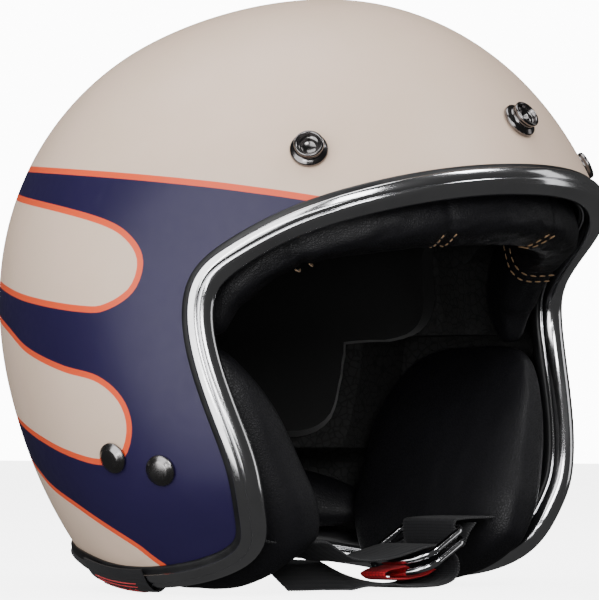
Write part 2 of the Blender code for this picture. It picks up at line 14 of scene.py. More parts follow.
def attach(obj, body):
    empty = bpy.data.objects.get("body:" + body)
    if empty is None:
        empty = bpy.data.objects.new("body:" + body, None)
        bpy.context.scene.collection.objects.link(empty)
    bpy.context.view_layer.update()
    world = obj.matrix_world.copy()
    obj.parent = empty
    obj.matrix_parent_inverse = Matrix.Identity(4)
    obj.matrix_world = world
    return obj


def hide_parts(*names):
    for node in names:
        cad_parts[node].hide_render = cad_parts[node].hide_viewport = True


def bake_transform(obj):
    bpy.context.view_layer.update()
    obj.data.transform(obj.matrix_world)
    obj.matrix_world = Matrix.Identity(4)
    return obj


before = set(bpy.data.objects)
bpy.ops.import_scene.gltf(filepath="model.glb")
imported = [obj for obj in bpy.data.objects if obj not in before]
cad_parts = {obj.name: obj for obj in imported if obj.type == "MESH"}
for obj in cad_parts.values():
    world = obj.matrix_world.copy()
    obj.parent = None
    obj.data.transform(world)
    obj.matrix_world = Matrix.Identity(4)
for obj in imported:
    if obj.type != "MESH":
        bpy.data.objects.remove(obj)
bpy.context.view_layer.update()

# ---- the shell's surface: an egg of two half superellipsoids, tilted back ----
CENTRE = np.array((0.0, -0.0051, 0.0977))
HALF_WIDTH = 0.1216
HALF_FRONT, HALF_BACK = 0.1233, 0.1205
HALF_UP, HALF_DOWN = 0.1254, 0.1463
PLAN_POWER, UPPER_POWER, LOWER_POWER = 1.87, 2.21, 2.03
NARROW, NARROW_CORNER = 0.0915, 0.1084
EGG_TURN = np.array(Matrix.Rotation(math.radians(22.5), 3, "X"))
POLE_LEAN = math.radians(60)
POLE = np.array((0, math.sin(POLE_LEAN), math.cos(POLE_LEAN)))
TO_RIGHT = np.array((-1.0, 0, 0))
TO_BROW = np.array((0, -math.cos(POLE_LEAN), math.sin(POLE_LEAN)))
EDGE_STATIONS = (
    (90, 122.6), (70, 120.3), (50, 114.1), (35, 107.3), (25, 102.9), (17, 101.2),
    (10, 104.1), (0, 112.9), (-12, 122.8), (-22, 126.2), (-30, 126.0), (-38, 117.0),
    (-48, 97.1), (-60, 82.4), (-75, 73.1), (-90, 70.6),
)
SHELL_WALL = 0.004
SHELL_TURNS, SHELL_RINGS = 288, 92

# ---- edge trim sections in mm: (along the surface past the cut edge, out of the surface) ----
OUTER_LIP = ((-3.7, 0.15), (-3.75, 0.7), (-3.4, 1.25), (-2.6, 1.6), (-1.4, 1.9), (0.0, 2.1), (0.0, 0.15))
BAND_SHOULDER = ((-1.35, 1.9), (-1.42, 2.45), (-1.15, 2.85), (-0.5, 3.05), (0.8, 3.05), (1.8, 2.85), (2.5, 2.5))
BAND_NOSE = ((2.62, 2.2), (2.95, 2.42), (3.7, 2.3), (4.9, 1.75), (6.0, 0.75), (6.8, -0.5), (7.2, -1.9),
             (7.1, -3.3), (6.5, -4.6), (5.6, -5.6), (4.5, -6.4), (3.75, -6.7))
BAND_ROLL = ((3.5, -6.62), (3.45, -7.0), (3.15, -7.35), (2.7, -7.35), (2.4, -7.0), (2.4, -5.0))
INNER_LIP = ((2.3, -6.3), (2.5, -7.7), (1.9, -8.5), (0.6, -8.9), (-1.4, -8.8), (-3.2, -8.2), (-3.2, -6.3))
TRIM_STATIONS = 432
TAG_FACE = ((-4.6, 3.2), (-3.0, 3.6), (-0.8, 3.9), (1.6, 3.95), (3.4, 3.7), (5.8, 2.8), (7.8, 1.0), (8.7, -1.0),
            (8.8, -3.2), (8.0, -5.3), (6.6, -6.8), (4.9, -7.7))
TAG_TURN = (-49.5, -42.0)
TAG_THICK = 0.5

# ---- paint lines in the side view, in mm: (y, z), the same on both sides ----
TOP_LINE = ((135, 167.0), (66, 160.9), (1.3, 155.2), (-35.3, 151.2), (-56.2, 148.2),
            (-77.3, 144.4), (-130, 133.5))
LOW_LINE = ((135, 75.0), (64.4, 48.7), (47, 40.6), (22.7, 31.6), (-0.2, 19.7), (-12.3, 9.8), (-55, -20.5))
UPPER_FINGER = ((135, 159.0), (65.4, 149.5), (22.6, 143.0), (-3.2, 136.9), (-14.7, 130.1), (-19.5, 120.9),
                (-16.6, 110.4), (-6.3, 104.0), (5.9, 103.4), (40.0, 107.9), (70.8, 113.9), (135, 126.0))
LOWER_FINGER = ((135, 117.0), (69.2, 102.1), (41.8, 91.3), (16.8, 84.2), (-1.6, 80.0), (-11.9, 71.6),
                (-14.1, 60.4), (-7.8, 49.5), (4.7, 47.6), (23.7, 51.2), (42.8, 56.3), (68.1, 63.1), (135, 80.0))
STRIPE = 0.0024

# ---- fasteners: places on the surface, and their turned profiles in mm (radius, height) ----
SNAP_PLACES = ((-0.0803, -0.0699, 0.1610), (0.0, -0.1034, 0.1742), (0.0803, -0.0699, 0.1610))
RIVET_PLACES = ((-0.1081, -0.0233, 0.0458), (-0.1120, -0.0036, 0.0503),
                (0.1081, -0.0233, 0.0458), (0.1120, -0.0036, 0.0503))
SNAP_PROFILE = ((0, 1.5), (2.5, 1.6), (2.9, 1.9), (3.0, 2.7), (3.4, 3.1), (4.0, 3.3), (4.25, 3.7), (4.3, 4.9),
                (4.5, 5.15), (4.8, 5.3), (5.15, 5.25), (5.4, 5.0), (5.5, 4.5), (5.4, 3.9), (5.0, 3.4), (4.85, 2.9),
                (5.0, 2.4), (5.5, 2.0), (6.6, 1.5), (6.9, 1.2), (7.0, 0.8), (7.0, 0.0), (2.5, 0.0), (2.5, -7.2),
                (0, -7.2))
RIVET_PROFILE = ((0, 2.45), (3.4, 2.42), (3.75, 2.3), (4.2, 1.9), (5.4, 0.95), (5.7, 0.75), (5.8, 0.45), (5.8, 0.0),
                 (2.5, 0.0), (2.5, -7.8), (0, -7.8))
FIT_GAP = 0.0004

# ---- chin strap ----
WEB_WIDTH, WEB_THICK = 0.025, 0.0014
SHORT_THICK = 0.0010
STRAP_Y = -0.0380
EXIT_X = 0.0479
EXIT_RIGHT_Z, EXIT_LEFT_Z = 0.0190, 0.0268
LONG_ROUTE = (
    (-0.0400, STRAP_Y, 0.0160), (-0.0310, STRAP_Y, 0.0126),
    (-0.0190, STRAP_Y, 0.0117), (-0.0060, STRAP_Y, 0.0127), (0.0060, STRAP_Y, 0.0149),
    (0.0140, STRAP_Y, 0.0163), (0.0220, STRAP_Y, 0.0163), (0.0275, STRAP_Y, 0.0145),
    (0.0315, STRAP_Y, 0.0112), (0.0322, STRAP_Y, 0.0070), (0.0290, STRAP_Y, 0.0034),
    (0.0220, STRAP_Y, 0.0017), (0.0140, STRAP_Y, 0.0014), (0.0060, STRAP_Y, 0.0014),
    (-0.0030, STRAP_Y + 0.001, 0.0020), (-0.0180, STRAP_Y + 0.004, 0.0054),
    (-0.0330, STRAP_Y + 0.008, 0.0063), (-0.0470, STRAP_Y + 0.013, 0.0064),
)
RING_WIRE, RING_INNER, RING_REACH, RING_BOW = 0.0028, 0.0266, 0.0290, 0.0190
RING_SLOPE = math.radians(26)
RING_BARS = {"outer": Vector((0.0335, STRAP_Y, 0.0189)), "inner": Vector((0.0325, STRAP_Y, 0.0234))}

# ---- padding: places as offsets from the cut edge, and turns in degrees about the face opening ----
PAD_POWER = 3.2
BROW_MIDDLE, BROW_REACH = 90, 82
BROW_SET, BROW_HALF_HEIGHT = 0.0015, 0.0150
BROW_DEPTH, BROW_HALF_DEPTH = 0.0205, 0.0110
BROW_SEAMS = (34.0, 67.2, 101.5, 146.0)
SEAM_HALF_GAP = 1.6
SEAM_DIP, SEAM_SPREAD = 0.0011, 1.1
CHEEK_LOW, CHEEK_TOP, CHEEK_REAR = -0.0018, 0.0940, 0.0260
CHEEK_FRONT, CHEEK_SET, CHEEK_POWER = -0.0580, 0.0100, 3.6
NECK_REACH = 40
LINING_DEPTH, LINING_THICK = 0.0310, 0.0065
LINING_TURNS, LINING_LEANS, LINING_RINGS = 144, 150, 40
LINING_LOW_Z, LINING_REAR_Y = 0.0970, 0.0375
LINING_MOST_LEAN = 84

# ---- colours ----
CREAM = (0.74, 0.565, 0.445, 1)
NAVY = (0.0150, 0.0105, 0.050, 1)
ORANGE = (0.80, 0.088, 0.026, 1)
RUBBER_BLACK = (0.0065, 0.0065, 0.0075, 1)
LEATHER_BLACK = (0.0068, 0.0066, 0.0085, 1)

# ---- camera and light: name, place, (width, height), power in watts ----
CAMERA_PLACE = Vector((-1.3127, -1.1006, 0.0587))
CAMERA_LOOK = Vector((0.7654, 0.6429, 0.0302))
LENS_MM, SENSOR_MM = 267.282, 36.0
FLOOR_HALF_SIZE, FLOOR_GAP, FLOOR_GLOW = 6, 0.0002, 5.0
BACKDROP_LIGHT, FILL_LIGHT, REFLECTED_LIGHT = 12.0, 0.36, 0.05
LIGHT_AIM = Vector((0, 0, 0.11))
SOFTBOXES = (
    ("side_softbox", (-1.70, -0.25, 0.40), (1.5, 2.2), 38),
    ("camera_softbox", (-1.05, -1.35, 0.75), (0.5, 0.7), 12),
    ("front_softbox", (0.42, -1.05, 1.45), (0.45, 0.45), 10),
    ("right_softbox", (1.55, -1.05, 0.55), (0.6, 1.4), 3),
    ("low_softbox", (-1.25, -0.85, 0.059), (0.9, 0.10), 3),
    ("top_softbox", (-0.3, 0.3, 1.8), (1.4, 1.2), 20),
)


# ------------------------------------------------------------------ the egg's surface
def smooth_step(value):
    value = np.clip(value, 0, 1)
    return value * value * (3 - 2 * value)


def narrowing(offset):
    """How much narrower the surface is towards the lower front, from the direction alone."""
    way = offset / np.maximum(np.linalg.norm(offset, axis=-1, keepdims=True), 1e-9)
    forward = smooth_step((0.25 - way[..., 1]) / 0.80)
    below = 1 - smooth_step((way[..., 2] - 0.20) / 0.30)
    corner = smooth_step((-0.45 - way[..., 2]) / 0.35)
    return forward * below * (NARROW + NARROW_CORNER * corner)


def egg_value(points):
    """1 on the shell's outer surface, less inside it and more outside."""
    offset = points - CENTRE
    q = offset @ EGG_TURN.T
    q[..., 0] *= 1 + narrowing(offset)
    half_y = np.where(q[..., 1] < 0, HALF_FRONT, HALF_BACK)
    half_z = np.where(q[..., 2] > 0, HALF_UP, HALF_DOWN)
    power = np.where(q[..., 2] > 0, UPPER_POWER, LOWER_POWER)
    plan = np.abs(q[..., 0] / HALF_WIDTH) ** PLAN_POWER + np.abs(q[..., 1] / half_y) ** PLAN_POWER
    return (plan ** (power / PLAN_POWER) + np.abs(q[..., 2] / half_z) ** power) ** (1 / power)


def onto_surface(points):
    return CENTRE + (points - CENTRE) / egg_value(points)[..., None]


def surface_normal(points):
    step = 0.0002
    slope = [egg_value(points + axis * step) - egg_value(points - axis * step) for axis in np.eye(3)]
    slope = np.stack(slope, -1)
    return slope / np.linalg.norm(slope, axis=-1, keepdims=True)


def polar_point(turn, lean, depth=0.0):
    """The point at a turn about the pole and a lean from it, in degrees, this deep in the wall."""
    turn, lean = np.radians(turn)[..., None], np.radians(lean)[..., None]
    around = TO_RIGHT * np.cos(turn) + TO_BROW * np.sin(turn)
    point = onto_surface(CENTRE + (POLE * np.cos(lean) + around * np.sin(lean)) * 0.1)
    return point - surface_normal(point) * np.asarray(depth)[..., None]


def side_point(y, z, depth, side):
    """The surface point of one side at (y, z), found by halving, this deep in the wall."""
    low, high = np.zeros_like(y), np.full_like(y, HALF_WIDTH)
    for _ in range(30):
        middle = (low + high) / 2
        inside = egg_value(np.stack((middle, y, z), -1)) < 1
        low, high = np.where(inside, middle, low), np.where(inside, high, middle)
    point = np.stack((side * low, y, z), -1)
    return point - surface_normal(point) * depth


def natural_spline(stations):
    """A smooth curve through (x, y) stations, level at both ends."""
    x, y = np.array(stations, float)[::-1].T
    gap = np.diff(x)
    rise = np.diff(y) / gap
    matrix = np.eye(len(x))
    right = np.zeros(len(x))
    for i in range(1, len(x) - 1):
        matrix[i, i - 1:i + 2] = gap[i], 2 * (gap[i] + gap[i - 1]), gap[i - 1]
        right[i] = 3 * (gap[i] * rise[i - 1] + gap[i - 1] * rise[i])
    slope = np.linalg.solve(matrix, right)

    def value(at):
        i = np.clip(np.searchsorted(x, at) - 1, 0, len(x) - 2)
        t = (at - x[i]) / gap[i]
        bow = (1 - t) * (slope[i] - rise[i]) - t * (slope[i + 1] - rise[i])
        return y[i] + t * (y[i + 1] - y[i]) + t * (1 - t) * gap[i] * bow
    return value


edge_curve = natural_spline(EDGE_STATIONS)


def edge_lean(turn):
    turn = (np.asarray(turn, float) + 90) % 360 - 90
    return edge_curve(np.where(turn <= 90, turn, 180 - turn))


def edge_frame(turn):
    """Points of the cut edge, the way past the edge along the surface, and the way out."""
    point = polar_point(turn, edge_lean(turn))
    along = polar_point(turn + 0.5, edge_lean(turn + 0.5)) - polar_point(turn - 0.5, edge_lean(turn - 0.5))
    out = surface_normal(point)
    past = np.cross(along, out)
    past /= np.linalg.norm(past, axis=-1, keepdims=True)
    past *= -np.sign(past @ POLE)[..., None]
    return point, past, out


def even_turns(start, end, count, closed=False):
    """Turns at equal steps along the cut edge, measured on a fine polyline of it."""
    fine = np.linspace(start, end, 1441)
    points = polar_point(fine, edge_lean(fine))
    length = np.concatenate(([0], np.cumsum(np.linalg.norm(np.diff(points, axis=0), axis=1))))
    turns = np.interp(np.linspace(0, length[-1], count + 1 if closed else count), length, fine)
    return turns[:-1] if closed else turns


# ------------------------------------------------------------------ building
def made(name, points, faces, material, sharp=None):
    """A smooth mesh object with its faces turned outwards."""
    mesh = bpy.data.meshes.new(name)
    mesh.from_pydata([tuple(p) for p in points], [], faces)
    bm = bmesh.new()
    bm.from_mesh(mesh)
    bmesh.ops.recalc_face_normals(bm, faces=bm.faces)
    if bm.calc_volume(signed=True) < 0:
        bmesh.ops.reverse_faces(bm, faces=bm.faces)
    bm.to_mesh(mesh)
    bm.free()
    mesh.shade_smooth()
    if sharp:
        mesh.set_sharp_from_angle(angle=math.radians(sharp))
    mesh.materials.append(material)
    obj = bpy.data.objects.new(name, mesh)
    bpy.context.scene.collection.objects.link(obj)
    return obj


def grid_faces(rows, columns, wrap_rows=False, start=0):
    """Quads between rings of points, each ring closed on itself."""
    faces = []
    for i in range(rows if wrap_rows else rows - 1):
        for j in range(columns):
            a, b = start + i * columns, start + (i + 1) % rows * columns
            faces.append((a + j, a + (j + 1) % columns, b + (j + 1) % columns, b + j))
    return faces


def loft(name, rings, material, closed=False, sharp=None, uv=None):
    """Skin an array of rings, (count, points, 3), capped or joined end to end."""
    rows, columns = rings.shape[:2]
    faces = grid_faces(rows, columns, wrap_rows=closed)
    if not closed:
        faces += [tuple(range(columns))[::-1], tuple(range((rows - 1) * columns, rows * columns))]
    obj = made(name, rings.reshape(-1, 3), faces, material, sharp=sharp)
    if uv is not None:
        put_uv(obj, uv.reshape(-1, 2))
    return obj


def put_uv(obj, uv):
    layer = obj.data.uv_layers.new(name="along_and_across")
    corners = np.zeros(len(obj.data.loops), int)
    obj.data.loops.foreach_get("vertex_index", corners)
    layer.data.foreach_set("uv", uv[corners].astype(np.float32).ravel())


def through(points, per_span):
    """A Catmull-Rom curve through 2D or 3D points, its ends kept."""
    p = np.asarray(points, float)
    p = np.vstack((2 * p[0] - p[1], p, 2 * p[-1] - p[-2]))
    t = np.linspace(0, 1, per_span, endpoint=False)[:, None]
    spans = []
    for before, a, b, after in zip(p, p[1:], p[2:], p[3:]):
        spans.append(0.5 * (2 * a + (b - before) * t + (2 * before - 5 * a + 4 * b - after) * t ** 2
                            + (3 * a - before - 3 * b + after) * t ** 3))
    return np.vstack(spans + [p[-2][None]])


def evenly(points, count):
    """The polyline's points respaced evenly, and its length."""
    length = np.concatenate(([0], np.cumsum(np.linalg.norm(np.diff(points, axis=0), axis=1))))
    wanted = np.linspace(0, length[-1], count)
    return np.stack([np.interp(wanted, length, c) for c in points.T], -1), length[-1]


def unit(v):
    return v / np.linalg.norm(v, axis=-1, keepdims=True)


def lathe(profile, steps=48):
    """A turned mesh from a profile of (radius, height) in mm, its ends on the axis."""
    turns = np.linspace(0, 2 * math.pi, steps, endpoint=False)
    profile = np.array(profile) / 1000
    points, faces, rows = [], [], []
    for radius, height in profile:
        if radius == 0:
            rows.append([len(points)])
            points.append((0, 0, height))
        else:
            rows.append(list(range(len(points), len(points) + steps)))
            points += [(radius * math.cos(a), radius * math.sin(a), height) for a in turns]
    for a, b in zip(rows, rows[1:]):
        for j in range(steps):
            k = (j + 1) % steps
            corners = [a[j % len(a)], a[k % len(a)], b[k % len(b)], b[j % len(b)]]
            faces.append(tuple(dict.fromkeys(corners)))
    return points, faces


# ------------------------------------------------------------------ node helpers
class Nodes:
    """A small hand for wiring a node tree."""

    def __init__(self, tree):
        self.tree = tree

    def add(self, kind, inputs=(), **settings):
        node = self.tree.nodes.new(kind)
        for key, value in settings.items():
            setattr(node, key, value)
        for key, value in dict(inputs).items():
            self.join(value, node.inputs[key])
        return node

    def join(self, value, socket):
        if isinstance(value, bpy.types.NodeSocket):
            self.tree.links.new(value, socket)
        else:
            socket.default_value = value

    def math(self, operation, a, b=0.0):
        return self.add("ShaderNodeMath", {0: a, 1: b}, operation=operation).outputs[0]

    def mix(self, share, a, b):
        node = self.add("ShaderNodeMix", data_type="RGBA")
        for value, socket in zip((share, a, b), (node.inputs[0], node.inputs[6], node.inputs[7])):
            self.join(value, socket)
        return node.outputs[2]

    def spread(self, value, low, high, to_low=0.0, to_high=1.0, smooth=False):
        kind = "SMOOTHSTEP" if smooth else "LINEAR"
        return self.add("ShaderNodeMapRange", {0: value, 1: low, 2: high, 3: to_low, 4: to_high},
                        interpolation_type=kind).outputs[0]


def shader_group(name, inputs, outputs, build):
    tree = bpy.data.node_groups.new(name, "ShaderNodeTree")
    for label, kind, value in inputs:
        socket = tree.interface.new_socket(label, in_out="INPUT", socket_type=kind)
        if value is not None:
            socket.default_value = value
    for label, kind in outputs:
        tree.interface.new_socket(label, in_out="OUTPUT", socket_type=kind)
    n = Nodes(tree)
    given = n.add("NodeGroupInput").outputs
    result = n.add("NodeGroupOutput")
    for label, value in build(n, given).items():
        n.join(value, result.inputs[label])
    return tree


def finish(name, colour, roughness, metallic=0.0, **sockets):
    """A new material with a Principled BSDF, and the hand that wires it."""
    material = bpy.data.materials.new(name)
    material.use_nodes = True
    n = Nodes(material.node_tree)
    shader = material.node_tree.nodes["Principled BSDF"]
    shader.inputs["Base Color"].default_value = colour
    shader.inputs["Roughness"].default_value = roughness
    shader.inputs["Metallic"].default_value = metallic
    for key, value in sockets.items():
        shader.inputs[key.replace("_", " ")].default_value = value
    return material, n, shader


def tinted(colour, *factors):
    """The colour with its channels scaled, by one factor or by one for each."""
    factors = factors * 3 if len(factors) == 1 else factors
    return (*(min(1.0, value * factor) for value, factor in zip(colour, factors)), 1)


def place(n):
    return n.add("ShaderNodeTexCoord").outputs["Object"]


def group_node(n, tree, **inputs):
    node = n.add("ShaderNodeGroup", node_tree=tree)
    for key, value in inputs.items():
        n.join(value, node.inputs[key])
    return node.outputs


def bump(n, shader, height, distance, strength):
    node = n.add("ShaderNodeBump", {"Height": height, "Distance": distance, "Strength": strength})
    n.join(node.outputs[0], shader.inputs["Normal"])


# ------------------------------------------------------------------ shared effects
def build_leather(n, given):
    where = given["Vector"]
    warp = n.add("ShaderNodeTexNoise", {"Vector": where, "Scale": 240.0, "Detail": 2.0}).outputs["Color"]
    bent = n.add("ShaderNodeMixRGB", {0: 0.0022, 1: where, 2: warp}, blend_type="ADD").outputs[0]
    cells = n.add("ShaderNodeTexVoronoi", {"Vector": bent, "Scale": given["Scale"]}, feature="DISTANCE_TO_EDGE")
    creases = n.spread(cells.outputs["Distance"], 0.0, 0.22, smooth=True)
    fine = n.add("ShaderNodeTexNoise", {"Vector": where, "Scale": 2600.0, "Detail": 2.0}).outputs[0]
    broad = n.add("ShaderNodeTexNoise", {"Vector": where, "Scale": 55.0, "Detail": 3.0}).outputs[0]
    height = n.math("ADD", n.math("MULTIPLY", creases, 0.8), n.math("MULTIPLY", fine, 0.3))
    return {"Height": height, "Creases": creases, "Worn": n.spread(broad, 0.35, 0.7)}


def build_weave(n, given):
    """Threads across and along, from a map in metres."""
    parts = n.add("ShaderNodeSeparateXYZ", {0: given["Vector"]}).outputs
    along = n.math("MULTIPLY", parts[0], n.math("DIVIDE", 6.2832, given["Along"]))
    across = n.math("MULTIPLY", parts[1], n.math("DIVIDE", 6.2832, given["Across"]))
    shift = n.math("MULTIPLY", n.math("SIGN", n.math("SINE", n.math("MULTIPLY", across, 0.5))), 1.5708)
    rows = n.math("ABSOLUTE", n.math("SINE", n.math("ADD", n.math("MULTIPLY", along, 0.5), shift)))
    columns = n.math("ABSOLUTE", n.math("SINE", n.math("MULTIPLY", across, 0.5)))
    height = n.math("MULTIPLY", n.math("POWER", rows, 0.6), n.math("POWER", columns, 0.5))
    fuzz = n.add("ShaderNodeTexNoise", {"Vector": given["Vector"], "Scale": 3500.0, "Detail": 2.0}).outputs[0]
    return {"Height": n.math("ADD", height, n.math("MULTIPLY", fuzz, 0.25)), "Threads": height}


def build_wear(n, given):
    broad = n.add("ShaderNodeTexNoise", {"Vector": given["Vector"], "Scale": given["Scale"], "Detail": 5.0,
                                         "Roughness": 0.65}).outputs[0]
    fine_scale = n.math("MULTIPLY", given["Scale"], 14.0)
    fine = n.add("ShaderNodeTexNoise", {"Vector": given["Vector"], "Scale": fine_scale, "Detail": 3.0}).outputs[0]
    return {"Patches": n.spread(broad, 0.35, 0.68, smooth=True), "Fine": fine}


VECTOR, FLOAT = "NodeSocketVector", "NodeSocketFloat"
leather_grain = shader_group(
    "leather_grain", (("Vector", VECTOR, None), ("Scale", FLOAT, 950.0)),
    (("Height", FLOAT), ("Creases", FLOAT), ("Worn", FLOAT)), build_leather)
woven_threads = shader_group(
    "woven_threads", (("Vector", VECTOR, None), ("Along", FLOAT, 0.001), ("Across", FLOAT, 0.001)),
    (("Height", FLOAT), ("Threads", FLOAT)), build_weave)
surface_wear = shader_group(
    "surface_wear", (("Vector", VECTOR, None), ("Scale", FLOAT, 30.0)),
    (("Patches", FLOAT), ("Fine", FLOAT)), build_wear)


def build_stripes(n, given):
    """Cream outside, orange in the stripe, navy inside, from the distance to the stripe's inner side."""
    blur = 0.00012
    stripe = n.spread(given["Distance"], -blur, blur)
    cream = n.spread(n.math("SUBTRACT", given["Distance"], given["Width"]), -blur, blur)
    return {"Stripe": stripe, "Cream": cream}


paint_lines = shader_group(
    "paint_lines", (("Distance", FLOAT, 0.0), ("Width", FLOAT, STRIPE)),
    (("Stripe", FLOAT), ("Cream", FLOAT)), build_stripes)


# ------------------------------------------------------------------ materials
def paint_material():
    material, n, shader = finish("satin_paint", CREAM, 0.42, Specular_IOR_Level=0.36)
    distance = n.add("ShaderNodeAttribute", attribute_name="past_navy").outputs["Fac"]
    lines = group_node(n, paint_lines, Distance=distance, Width=STRIPE)
    wear = group_node(n, surface_wear, Vector=place(n), Scale=22.0)
    cream = n.mix(wear["Patches"], CREAM, tinted(CREAM, 0.975, 0.965, 0.95))
    navy = n.mix(wear["Patches"], NAVY, tinted(NAVY, 1.12, 1.12, 1.1))
    colour = n.mix(lines["Cream"], n.mix(lines["Stripe"], navy, ORANGE), cream)
    n.join(colour, shader.inputs["Base Color"])
    n.join(n.spread(wear["Fine"], 0.3, 0.7, 0.37, 0.45), shader.inputs["Roughness"])
    peel = n.add("ShaderNodeTexNoise", {"Vector": place(n), "Scale": 700.0, "Detail": 1.0}).outputs[0]
    bump(n, shader, peel, 0.00003, 0.25)
    return material


def metal(name, colour, roughness, scratch=0.06, wear_scale=40.0, anisotropic=0.0):
    material, n, shader = finish(name, colour, roughness, 1.0, Anisotropic=anisotropic)
    wear = group_node(n, surface_wear, Vector=place(n), Scale=wear_scale)
    rough = n.spread(wear["Patches"], 0.0, 1.0, roughness, roughness + scratch)
    n.join(rough, shader.inputs["Roughness"])
    n.join(n.mix(wear["Patches"], colour, tinted(colour, 0.86)), shader.inputs["Base Color"])
    bump(n, shader, wear["Fine"], 0.00002, 0.15)
    return material


def leather_material():
    material, n, shader = finish("grained_leather", LEATHER_BLACK, 0.5, Specular_IOR_Level=0.30)
    grain = group_node(n, leather_grain, Vector=place(n), Scale=950.0)
    body = n.mix(grain["Worn"], LEATHER_BLACK, tinted(LEATHER_BLACK, 1.25))
    n.join(n.mix(grain["Creases"], tinted(LEATHER_BLACK, 0.6), body), shader.inputs["Base Color"])
    n.join(n.spread(grain["Creases"], 0.0, 1.0, 0.62, 0.44), shader.inputs["Roughness"])
    bump(n, shader, grain["Height"], 0.00016, 0.45)
    return material


def cloth(name, colour, along, across, depth):
    """Woven threads of these pitches along and across, raised by depth, on the piece's own map."""
    material, n, shader = finish(name, colour, 0.9, Sheen_Weight=0.04, Sheen_Roughness=0.5)
    where = n.add("ShaderNodeTexCoord").outputs["UV"]
    weave = group_node(n, woven_threads, Vector=where, Along=along, Across=across)
    n.join(n.mix(weave["Threads"], tinted(colour, 0.4), tinted(colour, 1.3)), shader.inputs["Base Color"])
    bump(n, shader, weave["Height"], depth, 0.9)
    return material


def rubber_material():
    material, n, shader = finish("trim_rubber", RUBBER_BLACK, 0.42)
    wear = group_node(n, surface_wear, Vector=place(n), Scale=60.0)
    n.join(n.spread(wear["Patches"], 0.0, 1.0, 0.36, 0.52), shader.inputs["Roughness"])
    n.join(n.mix(wear["Patches"], RUBBER_BLACK, (0.011, 0.011, 0.012, 1)), shader.inputs["Base Color"])
    bump(n, shader, wear["Fine"], 0.00004, 0.3)
    return material


def foam_material():
    material, n, shader = finish("moulded_foam", (0.012, 0.012, 0.012, 1), 0.85)
    beads = n.add("ShaderNodeTexVoronoi", {"Vector": place(n), "Scale": 330.0}, feature="DISTANCE_TO_EDGE")
    seams = n.spread(beads.outputs[0], 0.0, 0.12, smooth=True)
    n.join(n.mix(seams, (0.005, 0.005, 0.005, 1), (0.015, 0.015, 0.015, 1)), shader.inputs["Base Color"])
    bump(n, shader, seams, 0.0003, 0.6)
    return material


def plain_thread(name, colour):
    material, n, shader = finish(name, colour, 0.75, Sheen_Weight=0.2)
    twist = n.add("ShaderNodeTexNoise", {"Vector": place(n), "Scale": 2800.0, "Detail": 2.0}).outputs[0]
    n.join(n.mix(n.spread(twist, 0.35, 0.65), tinted(colour, 0.5), colour), shader.inputs["Base Color"])
    bump(n, shader, twist, 0.0001, 0.6)
    return material


PAINT = paint_material()
INSIDE = foam_material()
CHROME = metal("polished_band", (0.80, 0.80, 0.82, 1), 0.13, 0.05)
NICKEL = metal("black_nickel", (0.20, 0.19, 0.19, 1), 0.14, 0.08, 90.0)
RIVET_TOP = metal("rivet_nickel", (0.27, 0.26, 0.26, 1), 0.22, 0.10, 120.0)
RING_STEEL = metal("polished_ring", (0.74, 0.74, 0.76, 1), 0.08, 0.06, 120.0)
PLAIN_STEEL = metal("plain_steel", (0.50, 0.50, 0.52, 1), 0.32, 0.12, 80.0, 0.4)
RUBBER = rubber_material()
LEATHER = leather_material()
WEBBING = cloth("strap_webbing", (0.0085, 0.0085, 0.0105, 1), 0.0011, 0.0009, 0.00012)
TAG_CLOTH = cloth("tag_weave", (0.009, 0.009, 0.011, 1), 0.0007, 0.0007, 0.00008)
RED_RIBBON = cloth("red_ribbon", (0.80, 0.016, 0.028, 1), 0.0012, 0.0016, 0.00008)
GOLD_THREAD = plain_thread("gold_thread", (0.34, 0.20, 0.09, 1))
RED_THREAD = plain_thread("red_thread", (0.55, 0.010, 0.016, 1))
LINING = plain_thread("brushed_lining", (0.0014, 0.0014, 0.0017, 1))
BLACK_THREAD = plain_thread("black_thread", (0.016, 0.016, 0.018, 1))


# ------------------------------------------------------------------ repeated pieces
def geometry_tree(name, inputs, build):
    tree = bpy.data.node_groups.new(name, "GeometryNodeTree")
    tree.interface.new_socket("Geometry", in_out="INPUT", socket_type="NodeSocketGeometry")
    for label, kind in inputs:
        tree.interface.new_socket(label, in_out="INPUT", socket_type=kind)
    tree.interface.new_socket("Geometry", in_out="OUTPUT", socket_type="NodeSocketGeometry")
    n = Nodes(tree)
    given = n.add("NodeGroupInput").outputs
    instances = build(n, given)
    real = n.add("GeometryNodeRealizeInstances", {0: instances}).outputs[0]
    smooth = n.add("GeometryNodeSetShadeSmooth", {"Geometry": real}).outputs[0]
    painted = n.add("GeometryNodeSetMaterial", {"Geometry": smooth, "Material": given["Material"]}).outputs[0]
    result = n.add("NodeGroupOutput")
    n.join(painted, result.inputs[0])
    return tree


def build_row(n, given):
    """Small rounded pieces laid end to end along every path."""
    even = n.add("GeometryNodeResampleCurve", {"Curve": given["Geometry"], "Length": given["Pitch"]}, mode="LENGTH")
    points = n.add("GeometryNodeCurveToPoints", {"Curve": even.outputs[0]}, mode="EVALUATED")
    facing = n.add("FunctionNodeAlignRotationToVector", {"Vector": points.outputs["Tangent"]}, axis="Z")
    ball = n.add("GeometryNodeMeshUVSphere", {"Segments": 8, "Rings": 5, "Radius": 1.0}).outputs[0]
    size = n.add("ShaderNodeCombineXYZ", {0: given["Thickness"], 1: given["Thickness"], 2: given["Reach"]})
    return n.add("GeometryNodeInstanceOnPoints", {"Points": points.outputs[0], "Instance": ball,
                                                  "Rotation": facing.outputs[0],
                                                  "Scale": size.outputs[0]}).outputs[0]


